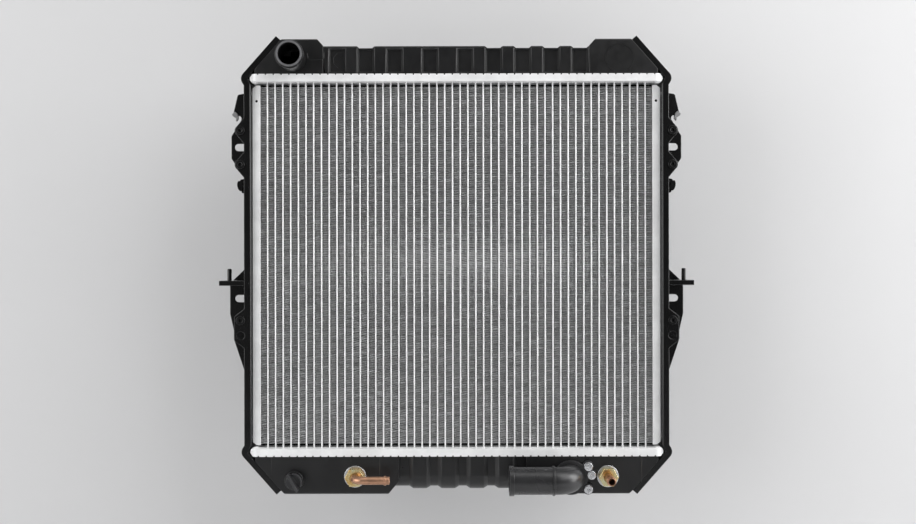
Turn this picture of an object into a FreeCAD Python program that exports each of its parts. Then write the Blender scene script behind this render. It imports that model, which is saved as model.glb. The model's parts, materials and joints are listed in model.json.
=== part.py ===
import FreeCAD, Part
import os
import re
import Sketcher

# A car radiator: an upright tube-and-fin core between two plastic tanks, crimped into the core's
# headers, with a transmission oil cooler in the lower tank, hung on two pressed steel brackets.
#
# Each piece is drawn in the core's frame: x to the right, y to the rear, z up, all from the middle of
# the core. place() then sets it in the vehicle frame, whose origin is the middle of the four mounting
# slots on the mounting face, at the back of the brackets. Lengths are millimetres.

SIZES = {
    # where the core sits between the mounting slots
    "core_setback": 25,       # mounting face to the core's middle plane
    "core_drop": 56.5,        # slot rows' middle down to the core's middle
    "slot_rise": 202,         # upper to lower mounting slots
    "slot_out": 23.5,         # bracket web to the slots' middle
    "slot_wide": 9.5,
    "slot_long": 16,
    # core
    "core_high": 472,         # between the outer faces of the headers
    "tube_count": 50,
    "tube_pitch": 10,
    "tube_thick": 2,
    "tube_deep": 32,
    "tube_wall": 0.35,
    "tube_past": 3,           # tube end past the header's face
    "fin_gap": 2.5,           # fin end to header
    # side plates
    "plate_sheet": 1.3,
    "plate_flange": 10,
    "plate_deep": 34,
    "plate_gap": 3,           # plate end to header
    "plate_cut": 4,           # slant at the flange ends
    "plate_tab": 12,
    "plate_hole": 3.3,
    "plate_hole_drop": 23.4,
    "plate_hole_in": 4.8,
    # headers
    "header_sheet": 1.5,
    "header_past": 10.4,      # core's end to the header's end
    "header_deep": 56,
    "header_wall": 10.1,
    "header_corner": 8,
    "roll_wide": 11.6,        # round ends of the header, seen from the front
    "roll_proud": 1.5,        # below the header's face
    "roll_past": 1.6,         # beyond the header's end
    "lip_reach": 2.2,
    "notch_wide": 1.8,
    "notch_deep": 1.4,
    "braze_gap": 0.1,
    "gasket_thick": 2,
    "gasket_wide": 6,
    # tanks
    "foot_fit": 0.25,
    "waist_gap": 0.3,
    "tank_past": 5,           # core's end to the tank's end
    "tank_wall": 3,
    "low_deep": 44,           # front to back between the sunk panels
    "rib_deep": 52,           # front to back over the ribs
    "box_deep": 54,           # front to back over the end boxes
    "end_rise": 16.7,         # header face up to the start of the end slant
    "slant_run": 31.2,
    "slant_rise": 35.3,
    "end_wall": 14,
    "panel_foot": 14,         # header face to the panels' lower ledge
    "top_box_edge": 171,
    "top_box_slope": 8,
    "top_box_high": 55,
    "top_rib_high": 46.2,
    "top_low_high": 43.2,
    "top_round": 3,
    "box_round": 2.5,
    "panel_wide": 16.8,       # the sunk panels' floor
    "panel_slope": 3,         # run of the panels' slanting sides
    "panel_pitch": 37,
    "panel_right": 11.3,      # first panel right of the middle
    "panel_middle": -33.8,
    "panel_left": -79.5,      # first panel of the left group
    "bottom_box_left": 74,
    "bottom_box_right": 89.3,
    "bottom_box_high": 58.3,
    "bottom_rib_high": 55.4,
    "bottom_low_high": 52.2,
    "bottom_round": 18,
    "corner_run": 14,
    "corner_rise": 17,
    "groove_wide": 9.4,       # floor between two ribs
    "rib_slope": 5,           # run of a rib's slanting sides
    "groove_first": -66.5,
    "groove_count": 5,
    # inlet neck
    "neck_side": 210,
    "neck_high": 29.5,
    "neck_bore": 27.6,
    "neck_wide": 34,
    "neck_long": 30,
    "bead_wide": 36.5,
    "bead_long": 3,
    "mark_wide": 37.4,
    "mark_proud": 0.5,
    # brackets
    "bracket_gap": 0.5,
    "bracket_sheet": 2.3,
    "bracket_deep": 50,
    "flange_sheet": 2,
    "front_flange": 9.2,
    "rear_flange": 15.5,
    "end_flange": 8.1,
    "bend_round": 3,
    "end_round": 10,
    "ear_round": 3,
    "jog_out": 4.5,
    "jog_below": 4,
    "tip_past": 1.7,
    "boss_out": 13.5,
    "boss_round": 7.5,
    "boss_slope": 16.5,
    "boss_high": 173.5,
    "boss_spacing": 44,
    "collar_wide": 11.8,
    "collar_long": 2.5,
    "stud_bore": 5,
    "pad_low": -97,
    "pad_high": -66,
    "pad_out": 22,
    "pad_slope": 10,
    "plain_hole": 10,
    "plain_hole_low": -90.5,
    "pad_boss_high": -71,
    "nut_across": 10,
    "nut_thick": 5,
    "ear_past": 12.8,         # ears, past the slots' middle
    "ear_flat": 30,
    "ear_slope": 22,
    "ear_waist": 32,
    "low_ear_past": 15,
    "low_ear_flat": 41,
    "tail_past": 10,
    "tail_long": 12,
    "tail_fade": 54,
    "tab_neck_out": 23,
    "tab_above": 42,
    "tab_high": 28.6,
    "tab_out": 34.5,
    "tab_top_out": 27.8,
    # locating pin shelves
    "shelf_high": -19.9,
    "shelf_sheet": 2,
    "shelf_out": 42.5,
    "shelf_lip": 6.4,
    "shelf_inset": 2,
    "pin_wide": 5.5,
    "pin_tall": 15.4,
    "pin_out": 33.5,
    "rivet_wide": 4,
    # clip tabs
    "clip_low": 96,
    "clip_high": 18,
    "clip_out": 21,
    "clip_sheet": 1.5,
    "clip_hook": 7,
    # bracket bolts
    "bolt_wide": 6,
    "bolt_head": 10,
    "bolt_head_thick": 4,
    "bolt_flange": 14,
    "bolt_flange_thick": 1.5,
    "insert_wide": 9,
    "insert_long": 9.5,
    "bolt_past": 8.5,
    "bolt_fit": 0.2,
    # outlet elbow
    "outlet_side": 146,
    "outlet_low": 36.5,
    "outlet_reach": 22,       # tank face to pipe axis, also the bend radius
    "outlet_wide": 34.5,
    "outlet_bore": 28,
    "outlet_end": 66,
    "outlet_bead": 37.5,
    "outlet_bead_long": 6,
    "outlet_ring_at": 120.5,
    "outlet_ring_long": 3,
    "outlet_flange": 44,
    "outlet_flange_thick": 5,
    "outlet_ear": 14,
    "screw_circle": 53,
    "screw_wide": 5,
    "screw_long": 8,
    "screw_head": 11,
    "screw_head_thick": 3,
    "screw_cross": 1.4,
    "screw_fan": 33.5,
    "screw_middle": 8,
    "ring_circle": 34,
    "ring_thick": 3,
    "ring_fit": 0.1,
    # oil cooler
    "cooler_low": 35.5,
    "cooler_left": 130.7,
    "cooler_right": 193.8,
    "cooler_past": 14,
    "cooler_wide": 24,
    "cooler_wall": 1.5,
    "cooler_inner": 14,
    "cooler_inner_wall": 1,
    "cooler_ring": 3,
    "fold_count": 12,
    "fold_sheet": 0.5,
    "fold_fit": 0.2,
    "port_shoulder": 18,
    "port_land": 1,           # shoulder standing proud of the cooler
    "port_wide": 12,
    "port_bore": 7,
    "port_past": 11,
    "port_fit": 0.2,
    "port_gasket": 1.5,
    "washer_wide": 28,
    "washer_thick": 1.5,
    "port_nut": 22,
    "port_nut_thick": 8.5,
    # oil pipes
    "pipe_wide": 10,
    "pipe_bore": 8,
    "pipe_bead": 12,
    "pipe_bead_long": 3,
    "pipe_bead_in": 7,
    "left_pipe_out": 25,
    "left_pipe_run": 45.7,
    "pipe_bend": 12,
    "right_pipe_long": 24,
    # drain cock
    "drain_side": 208.5,
    "drain_low": 40,
    "drain_boss": 24.5,
    "drain_boss_long": 6,
    "drain_stem": 11.6,
    "drain_fit": 0.2,
    "drain_stem_long": 12,
    "drain_gap": 0.1,
    "seal_wide": 18,
    "seal_thick": 1.2,
    "drain_head": 20,
    "drain_head_thick": 3,
    "wing_long": 25,
    "wing_thick": 3,
    "wing_high": 9.5,
    "wing_angle": 59,
    "arc_wide": 23,           # raised arc beside the wing
    "arc_sheet": 2,
    "arc_high": 4,
    "arc_start": 25,          # degrees from the wing to the arc's end
}

doc = FreeCAD.newDocument("car_radiator")
sheet = doc.addObject("Spreadsheet::Sheet", "Sizes")
for row, (alias, number) in enumerate(SIZES.items(), start=1):
    sheet.set(f"A{row}", alias)
    sheet.set(f"B{row}", str(number))
    sheet.setAlias(f"B{row}", alias)
doc.recompute()

nodes = []


# ---- sizes and expressions ------------------------------------------------------------------------

def link(text):
    """The expression with each size's name turned into a reference to its cell."""
    return re.sub(r"[a-z_]+", lambda word: "Sizes." + word[0] if word[0] in SIZES else word[0], text)


def value(text):
    """What an expression comes to now."""
    result = sheet.evalExpression(link(text))
    return float(getattr(result, "Value", result))


# ---- sketches and features ------------------------------------------------------------------------

def new_body(name):
    body = doc.addObject("PartDesign::Body", name)
    body.AllowCompound = True
    return body


def origin_item(body, role):
    return next(item for item in body.Origin.OriginFeatures if item.Role == role)


def new_sketch(body, name, plane, offset="0"):
    """A sketch on one of the body's planes, moved along its normal: up for XY, forward for XZ, right
    for YZ."""
    sketch = body.newObject("Sketcher::SketchObject", f"{body.Name}_{name}")
    sketch.AttachmentSupport = [(origin_item(body, plane + "_Plane"), "")]
    sketch.MapMode = "FlatFace"
    sketch.setExpression("AttachmentOffset.Base.z", link(offset))
    return sketch


def fix(sketch, kind, *where):
    """A driving dimension. The last item is the expression that it is bound to."""
    index = sketch.addConstraint(Sketcher.Constraint(kind, *where[:-1], value(where[-1])))
    sketch.setExpression(f"Constraints[{index}]", link(where[-1]))


def fix_point(sketch, edge, end, across, up):
    fix(sketch, "DistanceX", edge, end, across)
    fix(sketch, "DistanceY", edge, end, up)


def arc_between(start, end, radius):
    """The arc from start to end that bulges to the right of that direction."""
    chord = end - start
    left = FreeCAD.Vector(-chord.y, chord.x, 0).normalize()
    inward = (radius**2 - chord.Length**2 / 4) ** 0.5
    centre = (start + end) / 2 + left * inward
    middle = centre - left * radius
    return Part.Arc(start, middle, end)


def outline(sketch, points):
    """A closed outline, anticlockwise. A point is (across, up), or (across, up, radius) where the
    stretch to the next point is an outward arc."""
    first = sketch.GeometryCount
    count = len(points)
    spots = [FreeCAD.Vector(value(point[0]), value(point[1]), 0) for point in points]
    for index, point in enumerate(points):
        ahead = spots[(index + 1) % count]
        if len(point) == 3:
            sketch.addGeometry(arc_between(spots[index], ahead, value(point[2])))
        else:
            sketch.addGeometry(Part.LineSegment(spots[index], ahead))
    for index in range(count):
        following = first + (index + 1) % count
        sketch.addConstraint(Sketcher.Constraint("Coincident", first + index, 2, following, 1))
    for index, point in enumerate(points):
        fix_point(sketch, first + index, 1, point[0], point[1])
        if len(point) == 3:
            fix(sketch, "Radius", first + index, point[2])


def rectangle(sketch, left, right, low, high):
    outline(sketch, [(left, low), (right, low), (right, high), (left, high)])


def rounded(sketch, half_long, half_deep, radius):
    """A rectangle about the origin with round corners."""
    flat_long = f"({half_long} - {radius})"
    flat_deep = f"({half_deep} - {radius})"
    outline(sketch, [
        (f"-{flat_long}", f"-({half_deep})"), (flat_long, f"-({half_deep})", radius),
        (half_long, f"-{flat_deep}"), (half_long, flat_deep, radius),
        (flat_long, half_deep), (f"-{flat_long}", half_deep, radius),
        (f"-({half_long})", flat_deep), (f"-({half_long})", f"-{flat_deep}", radius)])


def circle(sketch, across, up, radius):
    centre = FreeCAD.Vector(value(across), value(up), 0)
    edge = sketch.addGeometry(Part.Circle(centre, FreeCAD.Vector(0, 0, 1), value(radius)))
    fix(sketch, "Radius", edge, radius)
    fix_point(sketch, edge, 3, across, up)


def obround(sketch, across, up, half_flat, radius, upright=False):
    """A slot's outline: two half circles, half_flat either side of the centre, joined by flats."""
    x, y, reach, r = value(across), value(up), value(half_flat), value(radius)
    along = FreeCAD.Vector(0, 1, 0) if upright else FreeCAD.Vector(1, 0, 0)
    aside = FreeCAD.Vector(-along.y, along.x, 0)
    middle = FreeCAD.Vector(x, y, 0)
    far, near = middle + along * reach, middle - along * reach
    first = sketch.GeometryCount
    sketch.addGeometry(Part.Arc(far - aside * r, far + along * r, far + aside * r))
    sketch.addGeometry(Part.LineSegment(far + aside * r, near + aside * r))
    sketch.addGeometry(Part.Arc(near + aside * r, near - along * r, near - aside * r))
    sketch.addGeometry(Part.LineSegment(near - aside * r, far - aside * r))
    for step in range(4):
        following = first + (step + 1) % 4
        sketch.addConstraint(Sketcher.Constraint("Tangent", first + step, 2, following, 1))
    shift = ("0", half_flat) if upright else (half_flat, "0")
    for arc, sign in ((first, "+"), (first + 2, "-")):
        fix(sketch, "Radius", arc, radius)
        fix_point(sketch, arc, 3, f"{across} {sign} ({shift[0]})", f"{up} {sign} ({shift[1]})")


def add_feature(kind, sketch, length, both, back):
    body = sketch.getParentGeoFeatureGroup()
    feature = body.newObject(f"PartDesign::{kind}", f"{sketch.Name}_{kind.lower()}")
    feature.Profile = sketch
    feature.setExpression("Length", link(length))
    feature.SideType = "Symmetric" if both else "One side"
    feature.Reversed = back
    body.Tip = feature
    return feature


def pad(sketch, length, both=False, back=False):
    """Material from the sketch along its normal, or both ways about it."""
    return add_feature("Pad", sketch, length, both, back)


def pocket(sketch, length, both=False, back=False):
    """A cut from the sketch against its normal, or along it when back is set, or both ways."""
    return add_feature("Pocket", sketch, length, both, back)


def repeat(features, count, pitch, role="X_Axis"):
    """Features repeated along an axis of their body."""
    body = features[0].getParentGeoFeatureGroup()
    pattern = body.newObject("PartDesign::LinearPattern", features[-1].Name + "_row")
    pattern.Originals = features
    pattern.Direction = (origin_item(body, role), [""])
    pattern.setExpression("Length", link(f"({pitch}) * (({count}) - 1)"))
    pattern.setExpression("Occurrences", link(count))
    body.Tip = pattern
    return pattern


def round_edges(body, name, radius, chosen):
    """A fillet on the edges of the body so far that chosen() picks."""
    doc.recompute()
    base = body.Tip
    edges = [f"Edge{index}" for index, edge in enumerate(base.Shape.Edges, start=1) if chosen(edge)]
    if not edges:
        raise RuntimeError(f"{body.Name} {name}: no edge to round")
    fillet = body.newObject("PartDesign::Fillet", f"{body.Name}_{name}")
    fillet.Base = (base, edges)
    fillet.setExpression("Radius", link(radius))
    body.Tip = fillet


def near(number, text):
    return abs(number - value(text)) < 0.01


def runs_along(edge, axis):
    """True for a straight edge that is parallel to the axis."""
    if edge.Curve.TypeId != "Part::GeomLine":
        return False
    return abs(edge.Curve.Direction * axis) > 0.999


def sweep(body, name, kind, profile, spine):
    """A pipe: the profile sketch carried along the spine sketch."""
    feature = body.newObject(f"PartDesign::{kind}", f"{body.Name}_{name}")
    feature.Profile = profile
    feature.Spine = (spine, [f"Edge{index + 1}" for index in range(spine.GeometryCount)])
    body.Tip = feature


def elbow_spine(sketch, start, corner_up, radius, end):
    """An open path in an XY sketch: forward from start, round an arc, then sideways to end. start is
    (x, y), corner_up is the y of the second run."""
    turn = -1 if value(end) < value(start[0]) else 1
    bend_x = f"{start[0]} + {turn} * ({radius})"
    bend_y = f"{corner_up} + ({radius})"
    begin = FreeCAD.Vector(value(start[0]), value(start[1]), 0)
    into = FreeCAD.Vector(value(start[0]), value(bend_y), 0)
    out = FreeCAD.Vector(value(bend_x), value(corner_up), 0)
    centre = FreeCAD.Vector(out.x, into.y, 0)
    middle = centre + ((into - centre) + (out - centre)).normalize() * value(radius)
    sketch.addGeometry(Part.LineSegment(begin, into))
    sketch.addGeometry(Part.Arc(into, middle, out))
    sketch.addGeometry(Part.LineSegment(out, FreeCAD.Vector(value(end), out.y, 0)))
    arc_start, arc_end = (1, 2) if turn > 0 else (2, 1)
    sketch.addConstraint(Sketcher.Constraint("Coincident", 0, 2, 1, arc_start))
    sketch.addConstraint(Sketcher.Constraint("Coincident", 2, 1, 1, arc_end))
    fix_point(sketch, 0, 1, *start)
    fix_point(sketch, 0, 2, start[0], bend_y)
    fix_point(sketch, 2, 1, bend_x, corner_up)
    fix_point(sketch, 2, 2, end, corner_up)
    fix(sketch, "Radius", 1, radius)


# ---- primitives, booleans and placing ---------------------------------------------------------------

def put(obj, x="0", y="0", z="0"):
    """Place an object in the core's frame."""
    for axis, text in (("x", x), ("y", y), ("z", z)):
        obj.setExpression(f"Placement.Base.{axis}", link(text))
    return obj


def place(obj, label, x="0", y="0", z="0"):
    """Place a finished piece in the vehicle frame and list it as a node."""
    put(obj, x, f"{y} - core_setback", f"{z} - core_drop")
    obj.Label = label
    nodes.append(obj)
    return obj


def cylinder(name, radius, height, x="0", y="0", z="0"):
    made = doc.addObject("Part::Cylinder", name)
    made.setExpression("Radius", link(radius))
    made.setExpression("Height", link(height))
    return put(made, x, y, z)


def cut(name, base, tool):
    made = doc.addObject("Part::Cut", name)
    made.Base = base
    made.Tool = tool
    return made


def fuse(name, shapes):
    made = doc.addObject("Part::MultiFuse", name)
    made.Shapes = shapes
    return made


def group(name, shapes):
    """Separate solids in one object."""
    made = doc.addObject("Part::Compound", name)
    made.Links = shapes
    return made


def mirrored(name, source, normal, base=("0", "0", "0")):
    made = doc.addObject("Part::Mirroring", name)
    made.Source = source
    made.Normal = FreeCAD.Vector(*normal)
    for axis, text in zip("xyz", base):
        made.setExpression(f"Base.{axis}", link(text))
    return made


def opposite(label, source, normal):
    """The mirror image of a placed piece across the core's middle, as a node of its own."""
    made = mirrored(label + "_mirror", source, normal, ("0", "-core_setback", "-core_drop"))
    made.Label = label
    nodes.append(made)
    return made


LEFT_RIGHT = (1, 0, 0)
TOP_BOTTOM = (0, 0, 1)

# ---- places that several pieces share ---------------------------------------------------------------

CORE_HALF = "core_high / 2"
TUBE_ROW = "tube_pitch * (tube_count - 1) / 2"
CORE_EDGE = "(tube_pitch * (tube_count + 1) / 2 - tube_thick / 2)"
HEADER_END = f"({CORE_EDGE} + header_past)"
FOOT_LOW = "(core_high / 2 + header_sheet + gasket_thick)"
FOOT_HIGH = "(core_high / 2 + header_wall - header_sheet)"
TANK_LOW = "(core_high / 2 + header_wall + waist_gap)"
TANK_END = f"({CORE_EDGE} + tank_past)"
SLANT_LOW = "(core_high / 2 + end_rise)"
SLANT_HIGH = "(core_high / 2 + end_rise + slant_rise)"
SLANT_ANGLE = "atan(slant_rise / slant_run)"
WEB = f"({CORE_EDGE} + plate_flange + bracket_gap)"
TANK_FACE = "box_deep / 2"
PORT_SEAT = "(cooler_wide / 2 + port_land + port_gasket)"


# ---- core -------------------------------------------------------------------------------------------

def core_tubes():
    """Flat tubes with round edges, hollow, one row."""
    body = new_body("tubes")
    half = f"({CORE_HALF} + tube_past)"
    sketch = new_sketch(body, "section", "XY", f"-{half}")
    flat = "(tube_deep / 2 - tube_thick / 2)"
    obround(sketch, f"-({TUBE_ROW})", "0", flat, "tube_thick / 2", upright=True)
    obround(sketch, f"-({TUBE_ROW})", "0", flat, "tube_thick / 2 - tube_wall", upright=True)
    tube = pad(sketch, f"2 * {half}")
    repeat([tube], "tube_count", "tube_pitch")
    place(body, "core_tubes")


def core_fins():
    """One block of folded fin between each two tubes, and one outside each end tube."""
    body = new_body("fins")
    half = f"({CORE_HALF} - fin_gap)"
    sketch = new_sketch(body, "section", "XY", f"-{half}")
    middle = f"-(tube_pitch * tube_count / 2)"
    width = "(tube_pitch - tube_thick) / 2"
    rectangle(sketch, f"{middle} - {width}", f"{middle} + {width}", "-tube_deep / 2", "tube_deep / 2")
    block = pad(sketch, f"2 * {half}")
    repeat([block], "tube_count + 1", "tube_pitch")
    place(body, "core_fins")


def side_plates():
    """Channels that close the core's sides, with a tab brazed into each header."""
    body = new_body("side_plate")
    half = f"({CORE_HALF} - plate_gap)"
    inner, outer = CORE_EDGE, f"({CORE_EDGE} + plate_flange)"
    web = f"({CORE_EDGE} + plate_sheet)"
    channel = new_sketch(body, "channel", "XY", f"-{half}")
    outline(channel, [
        (inner, "-plate_deep / 2"), (outer, "-plate_deep / 2"),
        (outer, "-plate_deep / 2 + plate_sheet"), (web, "-plate_deep / 2 + plate_sheet"),
        (web, "plate_deep / 2 - plate_sheet"), (outer, "plate_deep / 2 - plate_sheet"),
        (outer, "plate_deep / 2"), (inner, "plate_deep / 2")])
    pad(channel, f"2 * {half}")
    tab_half = f"({CORE_HALF} + tube_past)"
    tab = new_sketch(body, "tab", "XY", f"-{tab_half}")
    rectangle(tab, inner, web, "-plate_tab / 2", "plate_tab / 2")
    pad(tab, f"2 * {tab_half}")
    ends = new_sketch(body, "ends", "XZ")
    outline(ends, [(outer, f"{half} - plate_cut"), (f"{outer} + 1", f"{half} + 1"),
                   (f"{web} + plate_cut", f"{half} + 1"), (f"{web} + plate_cut", half)])
    outline(ends, [(outer, f"-{half} + plate_cut"), (f"{web} + plate_cut", f"-{half}"),
                   (f"{web} + plate_cut", f"-{half} - 1"), (f"{outer} + 1", f"-{half} - 1")])
    pocket(ends, "plate_deep + 2", both=True)
    hole = new_sketch(body, "hole", "XZ", "plate_deep / 2")
    circle(hole, f"{inner} + plate_hole_in", f"{CORE_HALF} - plate_hole_drop", "plate_hole / 2")
    pocket(hole, "plate_sheet")
    right = place(body, "right_side_plate")
    opposite("left_side_plate", right, LEFT_RIGHT)


def headers():
    """Trays that hold the tube ends. Their walls are notched into tabs and bent over the tank's foot."""
    body = new_body("header")
    floor = f"({CORE_HALF} + header_sheet)"
    top = f"({CORE_HALF} + header_wall)"
    tray = new_sketch(body, "tray", "XY", CORE_HALF)
    rounded(tray, HEADER_END, "header_deep / 2", "header_corner")
    pad(tray, "header_wall")
    rolls = new_sketch(body, "rolls", "XZ")
    for side in ("", "-"):
        circle(rolls, f"{side}({HEADER_END} + roll_past - roll_wide / 2)", f"{CORE_HALF} + roll_wide / 2 - roll_proud",
               "roll_wide / 2")
    pad(rolls, "header_deep - header_corner", both=True)
    inside = new_sketch(body, "inside", "XY", floor)
    wall = "header_sheet"
    rounded(inside, f"({HEADER_END} - {wall})", f"(header_deep / 2 - {wall})", f"(header_corner - {wall})")
    pocket(inside, "header_wall - 2 * header_sheet", back=True)
    mouth = new_sketch(body, "mouth", "XY", top)
    lip = "(header_sheet + lip_reach)"
    rounded(mouth, f"({HEADER_END} - {lip})", f"(header_deep / 2 - {lip})", f"(header_corner - {lip})")
    pocket(mouth, "header_sheet")
    slot = new_sketch(body, "slot", "XY", floor)
    obround(slot, f"-({TUBE_ROW})", "0", "(tube_deep / 2 - tube_thick / 2)", "tube_thick / 2 + braze_gap",
            upright=True)
    repeat([pocket(slot, "header_sheet")], "tube_count", "tube_pitch")
    tabs = new_sketch(body, "tabs", "XY", floor)
    near_side, far_side = f"({CORE_EDGE} - braze_gap)", f"({CORE_EDGE} + plate_sheet + braze_gap)"
    reach = "(plate_tab / 2 + braze_gap)"
    rectangle(tabs, near_side, far_side, f"-{reach}", reach)
    rectangle(tabs, f"-{far_side}", f"-{near_side}", f"-{reach}", reach)
    pocket(tabs, "header_sheet")
    notch = new_sketch(body, "notch", "XZ")
    middle = f"-({TUBE_ROW} + tube_pitch)"
    rectangle(notch, f"{middle} - notch_wide / 2", f"{middle} + notch_wide / 2", f"{top} - notch_deep",
              f"{top} + 1")
    repeat([pocket(notch, "header_deep + 2", both=True)], "tube_count + 2", "tube_pitch")
    upper = place(body, "top_header")
    opposite("bottom_header", upper, TOP_BOTTOM)


def gaskets():
    """Rubber rings between each header's floor and its tank's foot."""
    body = new_body("gasket")
    ring = new_sketch(body, "ring", "XY", f"{CORE_HALF} + header_sheet")
    edge = "(header_sheet + foot_fit)"
    inner = "(header_sheet + foot_fit + gasket_wide)"
    rounded(ring, f"({HEADER_END} - {edge})", f"(header_deep / 2 - {edge})", f"(header_corner - {edge})")
    rounded(ring, f"({HEADER_END} - {inner})", f"(header_deep / 2 - {inner})", "(header_corner / 4)")
    pad(ring, "gasket_thick")
    upper = place(body, "top_gasket")
    opposite("bottom_gasket", upper, TOP_BOTTOM)


# ---- tanks ------------------------------------------------------------------------------------------

def arched(body, name, place, half_deep, low, high, radius):
    """A section across x, flat below and with round upper corners."""
    section = new_sketch(body, name, "YZ", place)
    crown = f"({high} - {radius})"
    flat = f"({half_deep} - {radius})"
    outline(section, [(f"-({half_deep})", low), (half_deep, low), (half_deep, crown, radius),
                      (flat, high), (f"-{flat}", high, radius), (f"-({half_deep})", crown)])
    return section


def block(body, name, left, right, half_deep, low, high, radius, make=pad):
    """A bar along x whose upper long edges are round. Cut instead of added when make is pocket."""
    section = arched(body, name, left, half_deep, low, high, radius)
    return make(section, f"({right}) - ({left})", back=make is pocket)


def sloped_rib(body, left, right, low_top, rib_top):
    """A rib round the lower tank's middle whose two sides slant down to it."""
    sunk = ("low_deep / 2", TANK_LOW, low_top, "bottom_round")
    proud = ("rib_deep / 2", TANK_LOW, rib_top, "(bottom_round + (rib_deep - low_deep) / 2)")
    places = [(left, sunk), (f"({left} + rib_slope)", proud), (f"({right} - rib_slope)", proud),
              (right, sunk)]
    sections = [arched(body, f"rib_{step}", place, *shape) for step, (place, shape) in enumerate(places)]
    rib = body.newObject("PartDesign::AdditiveLoft", "rib")
    rib.Profile = sections[0]
    rib.Sections = sections[1:]
    rib.Ruled = True
    body.Tip = rib
    return rib


def tank_base(body, left_edge, right_edge, box_high, rib_high, low_high, radius, left_slope, right_slope):
    """What the two tanks share: foot, waist, ribbed middle, end boxes and the hollow, all as an upper
    tank. A slope is the (run, rise) of the box's corner over the ribbed middle."""
    box_top = f"({CORE_HALF} + {box_high})"
    rib_top = f"({CORE_HALF} + {rib_high})"
    low_top = f"({CORE_HALF} + {low_high})"
    foot = new_sketch(body, "foot", "XY", FOOT_LOW)
    edge = "(header_sheet + foot_fit)"
    rounded(foot, f"({HEADER_END} - {edge})", f"(header_deep / 2 - {edge})", f"(header_corner - {edge})")
    pad(foot, f"{FOOT_HIGH} - {FOOT_LOW}")
    waist = new_sketch(body, "waist", "XY", FOOT_HIGH)
    lip = "(header_deep / 2 - header_sheet - lip_reach - waist_gap)"
    rectangle(waist, f"-{TANK_END}", TANK_END, f"-{lip}", lip)
    pad(waist, f"{TANK_LOW} - {FOOT_HIGH}")
    block(body, "low", f"-({left_edge} + {left_slope[0]})", right_edge, "low_deep / 2", TANK_LOW, low_top,
          radius)
    nose = f"({box_top} - {SLANT_HIGH})"
    tip = f"({TANK_END} - slant_run)"
    boxes = new_sketch(body, "boxes", "XZ")
    outline(boxes, [
        (f"{right_edge}", TANK_LOW), (TANK_END, TANK_LOW), (TANK_END, SLANT_LOW), (tip, SLANT_HIGH),
        (f"{tip} - {nose}", box_top), (f"{right_edge} + {right_slope[0]}", box_top),
        (right_edge, f"{box_top} - {right_slope[1]}")])
    outline(boxes, [
        (f"-({left_edge})", TANK_LOW), (f"-({left_edge})", f"{box_top} - {left_slope[1]}"),
        (f"-({left_edge} + {left_slope[0]})", box_top), (f"-({tip} - {nose})", box_top),
        (f"-{tip}", SLANT_HIGH), (f"-{TANK_END}", SLANT_LOW), (f"-{TANK_END}", TANK_LOW)])
    pad(boxes, "box_deep", both=True)
    along = FreeCAD.Vector(1, 0, 0)
    round_edges(body, "box_edges", "box_round", lambda edge: runs_along(edge, along)
                and near(abs(edge.CenterOfMass.y), "box_deep / 2") and near(edge.CenterOfMass.z, box_top))
    return box_top, rib_top, low_top


def tank_hollow(body, low_top, radius):
    """The water space, open at the foot."""
    end = f"({TANK_END} - end_wall)"
    shoulder = f"({SLANT_LOW} + slant_rise / 2)"
    half = "(low_deep / 2 - tank_wall)"
    hollow = new_sketch(body, "hollow", "XZ")
    outline(hollow, [
        (f"-{end}", FOOT_LOW), (end, FOOT_LOW), (end, SLANT_LOW), (f"{end} - slant_run / 2", shoulder),
        (f"-{end} + slant_run / 2", shoulder), (f"-{end}", SLANT_LOW)])
    pocket(hollow, f"2 * {half}", both=True)
    reach = f"({end} - slant_run)"
    block(body, "crown", f"-{reach}", reach, half, SLANT_LOW, f"{low_top} - tank_wall",
          f"({radius} - tank_wall)" if value(radius) > value("tank_wall") else "(tank_wall / 2)", pocket)


def insert_bores(tank, name):
    """The tank with a blind bore for a threaded insert square to each end slant."""
    bore = slanted(cylinder(name + "_bore", "insert_wide / 2", "insert_long + 1"), "-insert_long")
    other = mirrored(name + "_bore_left", bore, LEFT_RIGHT)
    return cut(name + "_bored", tank, fuse(name + "_bores", [bore, other]))


def slanted(obj, lift):
    """Stand an object square on the middle of the upper right end slant, lift above it."""
    obj.Placement = FreeCAD.Placement(FreeCAD.Vector(), FreeCAD.Rotation(FreeCAD.Vector(0, 1, 0), 10))
    obj.setExpression("Placement.Rotation.Angle", link(SLANT_ANGLE))
    obj.setExpression("Placement.Base.x", link(f"{TANK_END} - slant_run / 2 + ({lift}) * sin({SLANT_ANGLE})"))
    obj.setExpression("Placement.Base.z", link(f"{SLANT_LOW} + slant_rise / 2 + ({lift}) * cos({SLANT_ANGLE})"))
    return obj


def panel_centres():
    """Middles of the sunk panels: three on the left, one alone, five on the right."""
    left = [f"(panel_left - {step} * panel_pitch)" for step in range(3)]
    right = [f"(panel_right + {step} * panel_pitch)" for step in range(5)]
    return left, ["panel_middle"], right


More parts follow.
